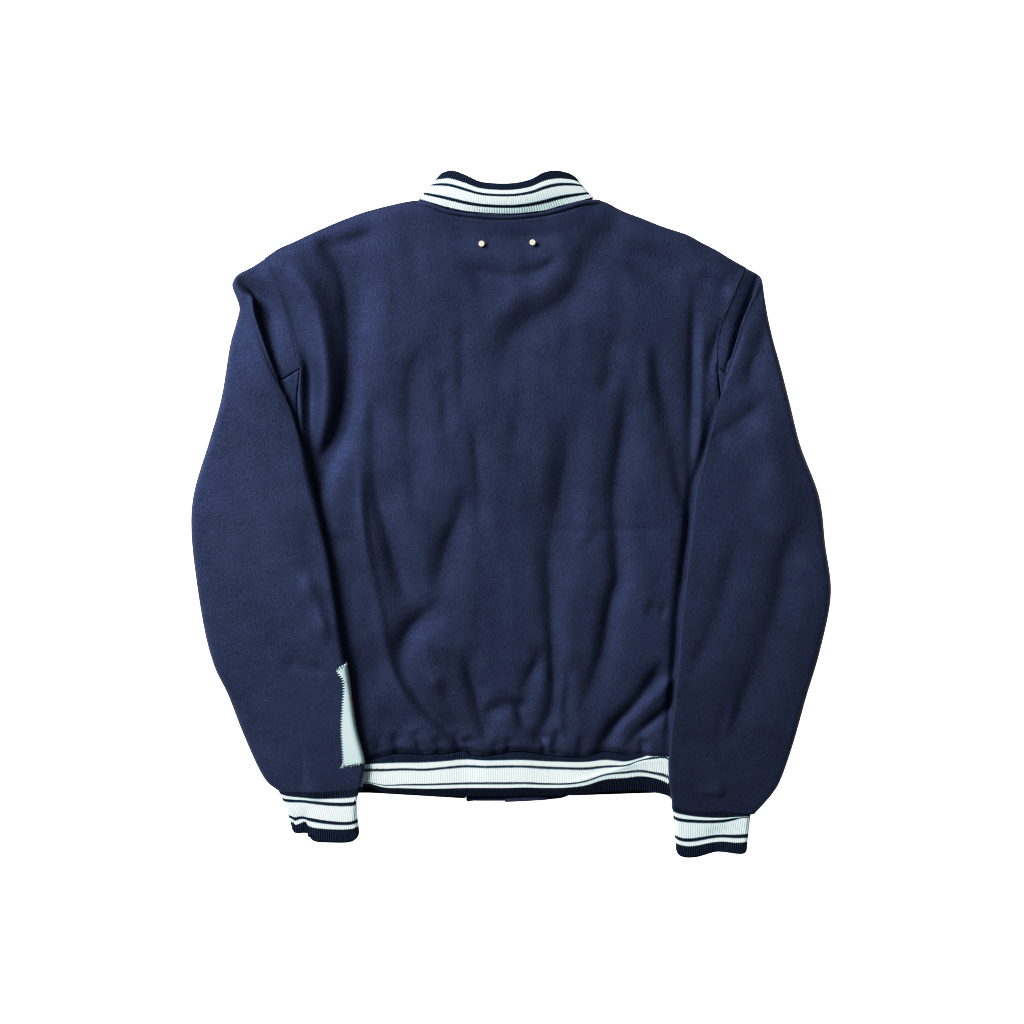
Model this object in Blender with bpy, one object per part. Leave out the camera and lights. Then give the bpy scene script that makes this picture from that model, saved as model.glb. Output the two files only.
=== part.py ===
"""A wool bomber jacket with striped knitted collar, cuffs and hem, laid flat with its back up.

The jacket lies face down. The fronts rest on the surface and overlap at the centre, the back lies over
them, and the sleeves are folded down over the sides of the body. Metres, +Z up, +Y towards the collar,
+X to the wearer's right. The origin is on the surface, under the middle of the jacket.

Every piece of cloth is a grid of points on its outer face, given a wall by a Solidify modifier.
"""

import math
from collections import namedtuple

import bmesh
import bpy
import numpy as np

# ---------------------------------------------------------------- driving sizes
WOOL = 0.0020                 # body and sleeve cloth
KNIT = 0.0025                 # collar, cuffs and hem band
PATCH_WALL = 0.0012
SEAM = 0.0003                 # gap between two pieces at a seam
LAYER = 0.0012                # room between the body and the sleeve that lies on it
PATCH_ROOM = 0.0020           # more room where the patch is folded under the forearm
SHOULDER_EDGE = 0.0063        # height of the back at the shoulder seam
SHOULDER_ROLL = 0.018         # width over which the back rises from it
FRONT_LIFT = 0.0020           # how far the fronts rise to meet the shoulder seam
NECK_CORNER = (0.0030, -0.0012)   # how far a front's corner at the neck keeps from the collar's fold
HEM_LINE = -0.281             # where the fronts meet the hem band
OVERLAP_LEFT = 0.022          # the left front's edge, past the middle
OVERLAP_RIGHT = -0.008        # the right front's edge
SNAP_X = 0.007
SNAP_RADIUS = 0.0075
SNAP_HEIGHT = 0.0013
SNAP_TOP_Y = 0.245
SNAP_LOWEST_Y = -0.252
SNAPS_ON_FRONT = 6
TAB_SNAP_Y = -0.302
TAB_BOTTOM_LEFT = -0.3225
TAB_BOTTOM_RIGHT = -0.3250
TAB_SIDE_LEFT = -0.0505
TAB_SIDE_RIGHT = 0.0655
STUD_RADIUS = 0.0034
STUD_HEIGHT = 0.0016

Point = namedtuple("Point", "x y")
Crown = namedtuple("Crown", "y centre side")
Edge = namedtuple("Edge", "y left right")
Fold = namedtuple("Fold", "name points width rise")
Section = namedtuple("Section", "inner_x inner_y outer_x outer_y bow top_inner top_middle top_outer")
Station = namedtuple("Station", "seam_x seam_y seam_z top_x top_y top_z bulge")

# ---------------------------------------------------------------- outlines of the body, seen from above
NECK = [Point(-0.101, 0.3565), Point(-0.055, 0.3440), Point(-0.008, 0.3385), Point(0.045, 0.3425),
        Point(0.096, 0.3570)]
SHOULDER_LEFT = [Point(-0.280, 0.290), Point(-0.2485, 0.308), Point(-0.210, 0.326), Point(-0.162, 0.344),
                 Point(-0.101, 0.3565)]
SHOULDER_RIGHT = [Point(0.096, 0.3570), Point(0.124, 0.344), Point(0.171, 0.326), Point(0.215, 0.308),
                  Point(0.265, 0.2795)]
ARMHOLE_LEFT = [Point(-0.240, 0.164), Point(-0.2486, 0.197), Point(-0.262, 0.2424), Point(-0.2746, 0.2695),
                Point(-0.280, 0.290)]
ARMHOLE_RIGHT = [Point(0.232, 0.168), Point(0.2328, 0.190), Point(0.2373, 0.213), Point(0.2463, 0.2356),
                 Point(0.265, 0.2795)]
SIDE_LEFT = [Point(-0.188, HEM_LINE), Point(-0.210, -0.160), Point(-0.233, 0.0), Point(-0.243, 0.110),
             Point(-0.240, 0.164)]
SIDE_RIGHT = [Point(0.196, HEM_LINE), Point(0.219, -0.120), Point(0.234, 0.040), Point(0.236, 0.120),
              Point(0.232, 0.168)]
HEM = [Point(-0.188, HEM_LINE), Point(-0.138, -0.272), Point(-0.053, -0.268), Point(0.045, -0.269),
       Point(0.145, -0.2725), Point(0.196, HEM_LINE)]
FRONT_NECK = [Point(0.0, 0.262), Point(0.034, 0.266), Point(0.066, 0.284), Point(0.090, 0.318),
              Point(0.100, 0.3565)]
# the front armhole on the flat cloth, x measured along the cloth from the middle
SCOOP_LEFT = [Point(0.2455, 0.190), Point(0.2530, 0.178), Point(0.266, 0.166), Point(0.280, 0.156),
              Point(0.297, 0.150), Point(0.312, 0.153)]
SCOOP_RIGHT = [Point(0.2315, 0.192), Point(0.2400, 0.180), Point(0.256, 0.166), Point(0.272, 0.155),
               Point(0.290, 0.148), Point(0.305, 0.150)]

# where the body's sides are folded round, left and right of the middle
EDGES = [Edge(0.165, 0.282, 0.275), Edge(0.0, 0.276, 0.272), Edge(-0.120, 0.258, 0.257),
         Edge(-0.220, 0.236, 0.238), Edge(HEM_LINE, 0.222, 0.229), Edge(-0.320, 0.216, 0.224)]

# height of the back's outer face above the surface
CROWNS = [Crown(0.360, 0.0110, 0.0100), Crown(0.300, 0.0132, 0.0115), Crown(0.200, 0.0148, 0.0122),
          Crown(0.0, 0.0154, 0.0122), Crown(-0.120, 0.0160, 0.0122), Crown(-0.220, 0.0160, 0.0122),
          Crown(-0.258, 0.0150, 0.0118), Crown(HEM_LINE, 0.0124, 0.0108)]
CROWN_HALF_WIDTH = 0.250

# the largest folds of the back; a negative rise is a trough
FOLDS = [
    Fold("trough beside the left sleeve",
         [Point(-0.217, 0.280), Point(-0.194, 0.242), Point(-0.189, 0.186), Point(-0.200, 0.112)],
         0.018, -0.0045),
    Fold("ridge along the left armhole",
         [Point(-0.250, 0.262), Point(-0.232, 0.225), Point(-0.221, 0.163)], 0.014, 0.0025),
    Fold("long trough, left",
         [Point(-0.158, 0.028), Point(-0.142, -0.040), Point(-0.121, -0.097), Point(-0.126, -0.181),
          Point(-0.080, -0.255)], 0.016, -0.0040),
    Fold("slanting trough",
         [Point(-0.058, 0.012), Point(-0.081, -0.034), Point(-0.110, -0.112)], 0.016, -0.0030),
    Fold("trough, centre right",
         [Point(0.054, 0.056), Point(0.037, 0.005), Point(0.026, -0.057), Point(0.020, -0.130)],
         0.016, -0.0040),
    Fold("long trough, right",
         [Point(0.124, 0.112), Point(0.114, 0.030), Point(0.115, -0.060), Point(0.096, -0.181)],
         0.014, -0.0035),
    Fold("pull at the right of the hem",
         [Point(0.175, -0.202), Point(0.133, -0.227), Point(0.107, -0.262)], 0.013, -0.0045),
    Fold("dip across the shoulder blades",
         [Point(0.094, 0.300), Point(0.071, 0.276), Point(0.020, 0.242), Point(-0.008, 0.214)],
         0.024, -0.0025),
]

# ---------------------------------------------------------------- sleeves, a row for each section
# inner and outer ends seen from above, how far the section bows, and the height of its upper face
SLEEVE_LEFT = [
    Section(-0.2475, 0.1610, -0.2960, 0.2810, 0.0062, 0.0165, 0.0150, 0.0085),    # cap
    Section(-0.2550, 0.1575, -0.3120, 0.2695, 0.0099, 0.0178, 0.0125, 0.0095),    # brim of the tuck
    Section(-0.2600, 0.1550, -0.3160, 0.2600, 0.0112, 0.0192, 0.0078, 0.0085),    # bottom of the tuck
    Section(-0.2630, 0.1510, -0.3140, 0.2490, 0.0067, 0.0215, 0.0200, 0.0125),    # fold that covers it
    Section(-0.2615, 0.1430, -0.3075, 0.2290, 0.0020, 0.0235, 0.0215, 0.0140),
    Section(-0.2555, 0.1310, -0.3150, 0.2085, 0.0, 0.0250, 0.0220, 0.0140),
    Section(-0.2495, 0.1160, -0.3210, 0.1810, 0.0, 0.0262, 0.0225, 0.0145),
    Section(-0.2396, 0.0860, -0.3290, 0.1320, 0.0, 0.0268, 0.0228, 0.0145),
    Section(-0.2280, 0.0440, -0.3424, 0.0840, 0.0, 0.0268, 0.0230, 0.0145),
    Section(-0.2170, -0.0010, -0.3615, 0.0250, 0.0, 0.0268, 0.0230, 0.0145),
    Section(-0.2068, -0.0460, -0.3620, -0.0200, 0.0, 0.0268, 0.0230, 0.0145),
    Section(-0.1985, -0.0970, -0.3565, -0.0760, 0.0, 0.0270, 0.0230, 0.0145),
    Section(-0.1920, -0.1420, -0.3475, -0.1340, 0.0, 0.0275, 0.0228, 0.0145),
    Section(-0.1865, -0.1720, -0.3350, -0.1740, 0.0, 0.0280, 0.0222, 0.0145),     # top of the patch
    Section(-0.1825, -0.2010, -0.3210, -0.2060, 0.0, 0.0280, 0.0215, 0.0142),
    Section(-0.1770, -0.2380, -0.3060, -0.2420, 0.0, 0.0275, 0.0205, 0.0140),
    Section(-0.1680, -0.2820, -0.2870, -0.2850, 0.0, 0.0255, 0.0190, 0.0135),     # bottom of the patch
    Section(-0.1730, -0.3060, -0.2670, -0.3110, 0.0, 0.0225, 0.0165, 0.0125),     # cuff seam
]
SLEEVE_RIGHT = [
    Section(0.2362, 0.1670, 0.2735, 0.2760, -0.0030, 0.0168, 0.0145, 0.0085),     # cap
    Section(0.2392, 0.1646, 0.2800, 0.2695, -0.0040, 0.0178, 0.0100, 0.0092),     # bottom of the tuck
    Section(0.2416, 0.1610, 0.2836, 0.2605, -0.0050, 0.0200, 0.0180, 0.0125),     # fold beside it
    Section(0.2408, 0.1530, 0.2852, 0.2420, -0.0020, 0.0222, 0.0210, 0.0140),
    Section(0.2360, 0.1400, 0.2905, 0.2175, 0.0, 0.0235, 0.0215, 0.0140),
    Section(0.2325, 0.1265, 0.2965, 0.1915, 0.0, 0.0248, 0.0220, 0.0145),
    Section(0.2270, 0.1060, 0.3035, 0.1655, 0.0, 0.0258, 0.0225, 0.0145),
    Section(0.2180, 0.0730, 0.3130, 0.1270, 0.0, 0.0264, 0.0228, 0.0145),
    Section(0.2068, 0.0310, 0.3260, 0.0770, 0.0, 0.0264, 0.0230, 0.0145),
    Section(0.2010, -0.0175, 0.3450, 0.0220, 0.0, 0.0264, 0.0230, 0.0145),
    Section(0.1955, -0.0650, 0.3550, -0.0360, 0.0, 0.0264, 0.0230, 0.0145),
    Section(0.1900, -0.1100, 0.3620, -0.0970, 0.0, 0.0266, 0.0230, 0.0145),
    Section(0.1865, -0.1588, 0.3460, -0.1590, 0.0, 0.0270, 0.0225, 0.0145),
    Section(0.1820, -0.2040, 0.3320, -0.2070, 0.0, 0.0270, 0.0218, 0.0142),
    Section(0.1774, -0.2490, 0.3190, -0.2570, 0.0, 0.0265, 0.0205, 0.0140),
    Section(0.1763, -0.2944, 0.3050, -0.2980, 0.0, 0.0240, 0.0185, 0.0135),
    Section(0.1800, -0.3250, 0.2840, -0.3280, 0.0, 0.0180, 0.0150, 0.0125),       # cuff seam
]
CUFF_LEFT = [
    Section(-0.1735, -0.3075, -0.2640, -0.3125, 0.0, 0.0222, 0.0160, 0.0120),
    Section(-0.1735, -0.3260, -0.2590, -0.3280, 0.0, 0.0190, 0.0140, 0.0110),
    Section(-0.1740, -0.3470, -0.2535, -0.3480, 0.0, 0.0150, 0.0125, 0.0105),
    Section(-0.1745, -0.3680, -0.2500, -0.3620, -0.0040, 0.0125, 0.0118, 0.0100),
]
CUFF_RIGHT = [
    Section(0.1800, -0.3265, 0.2830, -0.3295, 0.0, 0.0170, 0.0145, 0.0120),
    Section(0.1815, -0.3440, 0.2720, -0.3450, 0.0, 0.0142, 0.0135, 0.0110),
    Section(0.1825, -0.3640, 0.2675, -0.3640, 0.0, 0.0128, 0.0125, 0.0105),
    Section(0.1835, -0.3880, 0.2655, -0.3815, 0.0, 0.0118, 0.0118, 0.0100),
]
# the sleeves' largest creases, on their upper faces
SLEEVE_FOLDS = [
    Fold("trough along the left forearm's inner edge",
         [Point(-0.238, 0.010), Point(-0.224, -0.060), Point(-0.214, -0.130)], 0.016, -0.0022),
    Fold("crease below the right shoulder",
         [Point(0.290, 0.213), Point(0.280, 0.184), Point(0.270, 0.141)], 0.012, -0.0022),
    Fold("slanting trough of the right forearm",
         [Point(0.290, -0.112), Point(0.257, -0.170), Point(0.226, -0.238)], 0.016, -0.0028),
]
RING_STEPS = (0.12, 0.30, 0.50, 0.70, 0.88)   # points across a tube's upper and lower faces
RING_SIDES = 24               # points round a sleeve or cuff: four quarter circles and two faces
LEAST_HEIGHT = 0.0062         # of a flattened tube, room for two walls
PATCH_FIRST_ROW = 14          # the sleeve's rows from the patch's top edge to its bottom edge
PATCH_LAST_ROW = 17
PATCH_COLUMNS = (-6, 4)       # from the underside round the inner edge to the upper face

# ---------------------------------------------------------------- collar, a row for each station of the band
COLLAR = [
    Station(0.0040, 0.2660, 0.0, 0.0040, 0.3070, 0.0, 0.0),                       # left end, on the surface
    Station(-0.0300, 0.2705, 0.0, -0.0150, 0.3090, 0.0, 0.0),
    Station(-0.0620, 0.2890, 0.0, -0.0370, 0.3210, 0.0, 0.0),
    Station(-0.0850, 0.3210, 0.0, -0.0560, 0.3480, 0.0, 0.0),
    Station(-0.0955, 0.3545, 0.0, -0.0740, 0.3840, 0.0002, 0.0),
    Station(-0.1015, 0.3565, 0.0010, -0.0800, 0.3865, 0.0014, 0.0),               # folded edge
    Station(-0.1025, 0.3580, 0.0036, -0.0815, 0.3870, 0.0048, 0.0),
    Station(-0.1005, 0.3578, 0.0064, -0.0790, 0.3878, 0.0090, 0.0),
    Station(-0.0930, 0.3560, 0.0078, -0.0735, 0.3885, 0.0125, 0.0015),
    Station(-0.0700, 0.3498, 0.0105, -0.0560, 0.3850, 0.0175, 0.0040),
    Station(-0.0400, 0.3427, 0.0125, -0.0340, 0.3765, 0.0225, 0.0060),
    Station(-0.0080, 0.3398, 0.0130, -0.0080, 0.3740, 0.0240, 0.0065),
    Station(0.0250, 0.3418, 0.0128, 0.0170, 0.3765, 0.0230, 0.0062),
    Station(0.0600, 0.3478, 0.0108, 0.0400, 0.3860, 0.0180, 0.0045),
    Station(0.0880, 0.3562, 0.0080, 0.0560, 0.3883, 0.0130, 0.0015),
    Station(0.0955, 0.3585, 0.0064, 0.0735, 0.3835, 0.0090, 0.0),
    Station(0.0978, 0.3588, 0.0036, 0.0850, 0.3750, 0.0048, 0.0),
    Station(0.0968, 0.3572, 0.0010, 0.0840, 0.3742, 0.0014, 0.0),                 # folded edge
    Station(0.0915, 0.3545, 0.0, 0.0740, 0.3690, 0.0002, 0.0),
    Station(0.0840, 0.3205, 0.0, 0.0570, 0.3480, 0.0, 0.0),
    Station(0.0640, 0.2880, 0.0, 0.0400, 0.3210, 0.0, 0.0),
    Station(0.0380, 0.2700, 0.0, 0.0250, 0.3090, 0.0, 0.0),
    Station(0.0100, 0.2660, 0.0, 0.0100, 0.3070, 0.0, 0.0),                       # right end
]
HEM_BAND_TOP_GAP = 0.0006
HEM_BAND_BOTTOM = [Point(-0.216, -0.3150), Point(-0.120, -0.3155), Point(-0.060, -0.3185),
                   Point(0.040, -0.3175), Point(0.110, -0.3130), Point(0.224, -0.3150)]
HEM_BAND_BOTTOM_HEIGHT = 0.0085
HEM_BAND_MIDDLE_RISE = 0.0025  # how far the overlapped tabs lift it at the centre
STUDS = [("back_stud_left", Point(-0.0342, 0.3057)), ("back_stud_right", Point(0.0233, 0.3072))]


# ---------------------------------------------------------------- curves and heights
def smooth(points, count):
    """`count` + 1 points, evenly spaced in parameter, on a Catmull-Rom curve through `points`."""
    known = np.array(points, dtype=float)
    padded = np.vstack([2 * known[0] - known[1], known, 2 * known[-1] - known[-2]])
    chord = np.concatenate([[0.0], np.cumsum(np.linalg.norm(np.diff(known, axis=0), axis=1))])
    wanted = np.linspace(0.0, chord[-1], count + 1)
    span = np.clip(np.searchsorted(chord, wanted, side="right") - 1, 0, len(known) - 2)
    t = ((wanted - chord[span]) / (chord[span + 1] - chord[span]))[:, None]
    a, b, c, d = (padded[span + k] for k in range(4))
    return 0.5 * (2 * b + (c - a) * t + (2 * a - 5 * b + 4 * c - d) * t ** 2
                  + (3 * b - a - 3 * c + d) * t ** 3)


def column(table, name, y):
    """The value of a table's named column at height y, by straight interpolation."""
    rows = sorted(table, key=lambda row: row.y)
    return np.interp(y, [row.y for row in rows], [getattr(row, name) for row in rows])


def ease(value, start, end):
    """0 at `start`, 1 at `end`, smooth between."""
    t = np.clip((value - start) / (end - start), 0.0, 1.0)
    return t * t * (3 - 2 * t)


def distance_along(x, y, points, samples=24):
    """Distance of each (x, y) from a smooth curve, and how far along the curve it is, from 0 to 1."""
    line = smooth(points, samples)
    gaps = np.hypot(np.subtract.outer(x, line[:, 0]), np.subtract.outer(y, line[:, 1]))
    nearest = gaps.argmin(axis=-1)
    return gaps.min(axis=-1), nearest / samples


def relief(x, y, folds):
    """Height that folds add at (x, y): soft troughs and ridges that fade out at their ends."""
    total = np.zeros(np.shape(x))
    for fold in folds:
        away, along = distance_along(x, y, fold.points)
        fade = np.sin(math.pi * np.clip(along, 0.12, 0.88))
        total = total + fold.rise * np.exp(-(away / fold.width) ** 2) * fade
    return total


def body_top(x, y):
    """Height of the body's upper face: crowned, rolled down at the shoulders, with its largest folds."""
    x, y = np.asarray(x, dtype=float), np.asarray(y, dtype=float)
    centre, side = column(CROWNS, "centre", y), column(CROWNS, "side", y)
    height = side + (centre - side) * (1 - np.clip(np.abs(x) / CROWN_HALF_WIDTH, 0, 1) ** 2)
    height = height + relief(x, y, FOLDS)
    for shoulder in (SHOULDER_LEFT, SHOULDER_RIGHT):
        away, _ = distance_along(x, y, shoulder)
        roll = 1 - (1 - np.clip(away / SHOULDER_ROLL, 0, 1)) ** 2.2
        height = SHOULDER_EDGE + (height - SHOULDER_EDGE) * roll
    return height


def side_edge(side, y):
    """Distance of the folded side from the middle, at height y; side is -1 or 1."""
    return column(EDGES, "left" if side < 0 else "right", y)


def under_sleeve(x, y):
    """Height of what a sleeve lies on: the body's side where there is one, or else the surface."""
    x, y = np.asarray(x, dtype=float), np.asarray(y, dtype=float)
    side = np.where(x < 0, -1.0, 1.0)
    edge = np.where(x < 0, side_edge(-1, y), side_edge(1, y))
    inside = np.minimum(np.abs(x), edge - 0.006)
    room = LAYER + PATCH_ROOM * ease(-y, 0.140, 0.165)
    height = np.minimum(body_top(side * inside, np.clip(y, HEM_LINE, 0.165)), 0.0165) + room
    beyond_side = 1 - ease(np.abs(x), edge + 0.006, edge + 0.042)
    below_hem = 1 - ease(-y, 0.312, 0.342)
    above_armpit = 1 - ease(y, 0.155, 0.202)
    return height * beyond_side * below_hem * above_armpit


# ---------------------------------------------------------------- making a piece
def material(name, colour, roughness, metallic=0.0):
    made = bpy.data.materials.new(name)
    made.use_nodes = True
    shader = made.node_tree.nodes["Principled BSDF"]
    shader.inputs["Base Color"].default_value = (*colour, 1.0)
    shader.inputs["Roughness"].default_value = roughness
    shader.inputs["Metallic"].default_value = metallic
    made.diffuse_color = (*colour, 1.0)
    return made


def navy_wool(piece):
    return material(piece + "_wool", (0.026, 0.036, 0.080), 0.9)


def striped_knit(piece):
    return material(piece + "_knit", (0.70, 0.78, 0.80), 0.85)


def finish_object(name, mesh_maker, finish):
    mesh = bpy.data.meshes.new(name)
    mesh_maker.to_mesh(mesh)
    mesh_maker.free()
    mesh.shade_smooth()
    made = bpy.data.objects.new(name, mesh)
    mesh.materials.append(finish)
    bpy.context.scene.collection.objects.link(made)
    return made


def add_grid(mesh_maker, points):
    """Lay a bmesh grid on a table of points, rows by columns; its faces look along column x row."""
    rows, columns = points.shape[0] - 1, points.shape[1] - 1
    made = bmesh.ops.create_grid(mesh_maker, x_segments=columns, y_segments=rows, size=1.0)["verts"]
    for vertex in made:
        across = round((vertex.co.x + 1) / 2 * columns)
        up = round((vertex.co.y + 1) / 2 * rows)
        vertex.co = points[up, across]


def cloth(name, grids, wall, finish, outwards=False):
    """One piece of cloth from one or more grids of points on its outer face, joined where they meet."""
    mesh_maker = bmesh.new()
    for points in grids:
        add_grid(mesh_maker, points)
    bmesh.ops.remove_doubles(mesh_maker, verts=mesh_maker.verts, dist=0.00002)
    made = finish_object(name, mesh_maker, finish)
    thicken = made.modifiers.new("wall", "SOLIDIFY")
    thicken.thickness = wall
    thicken.offset = 1.0 if outwards else -1.0
    thicken.use_even_offset = False
    return made


def span_grid(bottom, top, left, right):
    """Points of a four-sided patch between its borders: bottom and top run left to right, the sides up."""
    across = np.linspace(0, 1, len(bottom))[None, :, None]
    up = np.linspace(0, 1, len(left))[:, None, None]
    between = ((1 - up) * bottom[None] + up * top[None]
               + (1 - across) * left[:, None] + across * right[:, None])
    corners = ((1 - up) * ((1 - across) * bottom[0] + across * bottom[-1])
               + up * ((1 - across) * top[0] + across * top[-1]))
    return between - corners


# ---------------------------------------------------------------- back
def make_back():
    shoulder_columns, neck_columns, armhole_rows, side_rows = 6, 8, 6, 10
    top = np.vstack([smooth(SHOULDER_LEFT, shoulder_columns), smooth(NECK, neck_columns)[1:],
                     smooth(SHOULDER_RIGHT, shoulder_columns)[1:]])
    bottom = smooth(HEM, 2 * shoulder_columns + neck_columns)
    left = np.vstack([smooth(SIDE_LEFT, side_rows), smooth(ARMHOLE_LEFT, armhole_rows)[1:]])
    right = np.vstack([smooth(SIDE_RIGHT, side_rows), smooth(ARMHOLE_RIGHT, armhole_rows)[1:]])
    plan = span_grid(bottom, top, left, right)
    heights = body_top(plan[..., 0], plan[..., 1])
    cloth("back", [np.dstack([plan, heights])], WOOL, navy_wool("back"))


# ---------------------------------------------------------------- fronts
def front_rest(side, x):
    """How far a front's outer face is off the surface: over the snap caps, and the right over the left."""
    if side < 0:
        return (SNAP_HEIGHT + SEAM) * ease(x, -0.050, -0.030)
    return (SNAP_HEIGHT + WOOL + 3 * SEAM) * (1 - ease(x, 0.032, 0.052))


def wrap(side, along, y):
    """Place cloth measured along a front from the middle: on the surface, round the side, and back on top."""
    edge = side_edge(side, y)
    height = body_top(side * (edge - 0.0065), y)
    radius = height / 2
    straight = edge - radius
    turn = np.clip((along - straight) / radius, 0, math.pi)
    back_again = np.maximum(along - straight - math.pi * radius, 0)
    x = side * (np.minimum(along, straight) + radius * np.sin(turn) - back_again)
    on_top = body_top(x, y) - body_top(side * straight, y)
    shoulder = SHOULDER_LEFT if side < 0 else SHOULDER_RIGHT
    away, _ = distance_along(x, y, shoulder)
    lift = FRONT_LIFT * np.clip(1 - away / 0.020, 0, 1) ** 2
    z = radius * (1 - np.cos(turn)) + np.where(back_again > 0, on_top, 0.0)
    flat = along <= straight
    return np.dstack([x, y, z + np.where(flat, front_rest(side, x) + lift, 0.0)])


def make_front(name, side):
    """A front in two grids: from the middle to below the armhole, and from there round the side."""
    inner_columns, outer_columns, armhole_rows, body_rows = 8, 6, 4, 10
    mirror = np.array([-1.0, 1.0]) if side < 0 else np.array([1.0, 1.0])
    middle = -OVERLAP_LEFT if side < 0 else OVERLAP_RIGHT
    shoulder = smooth(SHOULDER_LEFT[::-1] if side < 0 else SHOULDER_RIGHT, 4) * mirror
    shoulder[0] += NECK_CORNER
    armhole = np.array(ARMHOLE_LEFT if side < 0 else ARMHOLE_RIGHT) * mirror
    scoop_points = SCOOP_LEFT if side < 0 else SCOOP_RIGHT
    side_seam = smooth(SIDE_LEFT if side < 0 else SIDE_RIGHT, body_rows) * mirror
    radius = body_top(side * (side_edge(side, side_seam[:, 1]) - 0.0065), side_seam[:, 1]) / 2
    straight = side_edge(side, side_seam[:, 1]) - radius
    round_side = 2 * straight + math.pi * radius - side_seam[:, 0] - 2 * SEAM
    unrolled = np.column_stack([round_side, side_seam[:, 1]])
    corner = np.array(scoop_points[0])

    neck = smooth([Point(middle, FRONT_NECK[0].y)] + FRONT_NECK[1:-1] + [Point(*shoulder[0])], 4)
    top = np.vstack([neck, shoulder[1:]])
    inner_hem = np.column_stack([np.linspace(middle, 0.78 * unrolled[0, 0], inner_columns + 1),
                                 np.full(inner_columns + 1, HEM_LINE)])
    split = np.linspace(inner_hem[-1], corner, body_rows + 1)
    upper_armhole = armhole[armhole[:, 1] > corner[1] + 0.002] - (5 * SEAM, 0)
    right = np.vstack([split, smooth(np.vstack([corner, upper_armhole]), armhole_rows)[1:]])
    centre = np.column_stack([np.full(len(right), middle),
                              np.linspace(HEM_LINE, FRONT_NECK[0].y, len(right))])
    inner = span_grid(inner_hem, top, centre, right)

    scoop = smooth(scoop_points + [Point(*unrolled[-1])], outer_columns)
    outer_hem = np.column_stack([np.linspace(inner_hem[-1, 0], unrolled[0, 0], outer_columns + 1),
                                 np.full(outer_columns + 1, HEM_LINE)])
    outer = span_grid(outer_hem, scoop, split, unrolled)

    grids = []
    for flat in (inner, outer):
        placed = wrap(side, flat[..., 0], flat[..., 1])
        grids.append(placed if side < 0 else placed[:, ::-1])
    cloth(name, grids, WOOL, navy_wool(name))


# ---------------------------------------------------------------- sleeves and cuffs
def ring_places(length, inner_half, outer_half):
    """Shares of the way across a flattened tube, and of its half height, at each point round it.

    Its edges are half circles; between them its upper and lower faces are in RING_STEPS.
    """
    arc = np.radians([0, 30, 60, 90])
    inner_end = inner_half * (1 - np.cos(arc))
    outer_end = length - outer_half * (1 - np.cos(arc))
    flat = inner_half + np.array(RING_STEPS) * (length - inner_half - outer_half)
    distance = np.concatenate([inner_end, flat, outer_end[::-1], outer_end[1:], flat[::-1], inner_end[::-1]])
    upward = np.concatenate([np.sin(arc), np.ones(len(flat)), np.sin(arc)[::-1], -np.sin(arc)[1:],
                             -np.ones(len(flat)), -np.sin(arc)[::-1]])
    return distance / length, upward


def ring(section, under):
    """Points round a flattened tube, from its inner edge over the top to its outer edge and back below."""
    inner = np.array([section.inner_x, section.inner_y])
    outer = np.array([section.outer_x, section.outer_y])
    chord = outer - inner
    length = np.linalg.norm(chord)
    normal = np.array([chord[1], -chord[0]]) / length
    ends = np.maximum((section.top_inner - under(*inner), section.top_outer - under(*outer)), LEAST_HEIGHT)
    t, upward = ring_places(length, *(ends / 2))
    plan = inner + t[:, None] * chord + (4 * section.bow * t * (1 - t))[:, None] * normal
    top = (section.top_inner * (1 - t) * (1 - 2 * t) + section.top_middle * 4 * t * (1 - t)
           + section.top_outer * t * (2 * t - 1)) + relief(plan[:, 0], plan[:, 1], SLEEVE_FOLDS)
    bottom = under(plan[:, 0], plan[:, 1])
    top = np.maximum(top, bottom + LEAST_HEIGHT)
    return np.column_stack([plan, (top + bottom) / 2 + upward * (top - bottom) / 2])


def cap_ring(armhole, side):
    """The sleeve's first ring, along the armhole seam."""
    line = smooth(armhole, 60)
    along = np.linspace(0, 1, len(line))
    length = np.linalg.norm(np.diff(line, axis=0), axis=1).sum()
    t, upward = ring_places(length, LEAST_HEIGHT / 2, LEAST_HEIGHT / 2)
    plan = np.column_stack([np.interp(t, along, line[:, 0]) + side * 2 * SEAM,
                            np.interp(t, along, line[:, 1])])
    bottom = under_sleeve(plan[:, 0], plan[:, 1])
    top = np.maximum(body_top(plan[:, 0], plan[:, 1]), bottom + LEAST_HEIGHT)
    return np.column_stack([plan, (top + bottom) / 2 + upward * (top - bottom) / 2])


def make_sleeve(name, sections, armhole, side):
    rings = np.array([cap_ring(armhole, side)] + [ring(section, under_sleeve) for section in sections])
    rows = rings if side < 0 else rings[::-1]
    cloth(name, [rows], WOOL, navy_wool(name))
    return rings


def make_cuff(name, sections, side):
    rings = np.array([ring(section, under_sleeve) for section in sections])
    cloth(name, [rings if side < 0 else rings[::-1]], KNIT, striped_knit(name))


# ---------------------------------------------------------------- patch on the left forearm
def outward_normals(rings):
    """Unit normals of the left sleeve's rings, at each point."""
    round_it = np.roll(rings[:, :-1], -1, axis=1) - np.roll(rings[:, :-1], 1, axis=1)
    along_it = np.gradient(rings[:, :-1], axis=0)
    normals = np.cross(round_it, along_it)
    normals /= np.linalg.norm(normals, axis=2)[..., None]
    return normals


def make_patch(rings):
    normals = outward_normals(rings)
    columns = np.arange(PATCH_COLUMNS[0], PATCH_COLUMNS[1] + 1) % RING_SIDES
    rows = slice(PATCH_FIRST_ROW, PATCH_LAST_ROW + 1)
    base = rings[rows][:, columns] + SEAM * normals[rows][:, columns]
    leather = material("patch_leather", (0.52, 0.68, 0.70), 0.6)
    cloth("sleeve_patch", [base], PATCH_WALL, leather, outwards=True)


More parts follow.
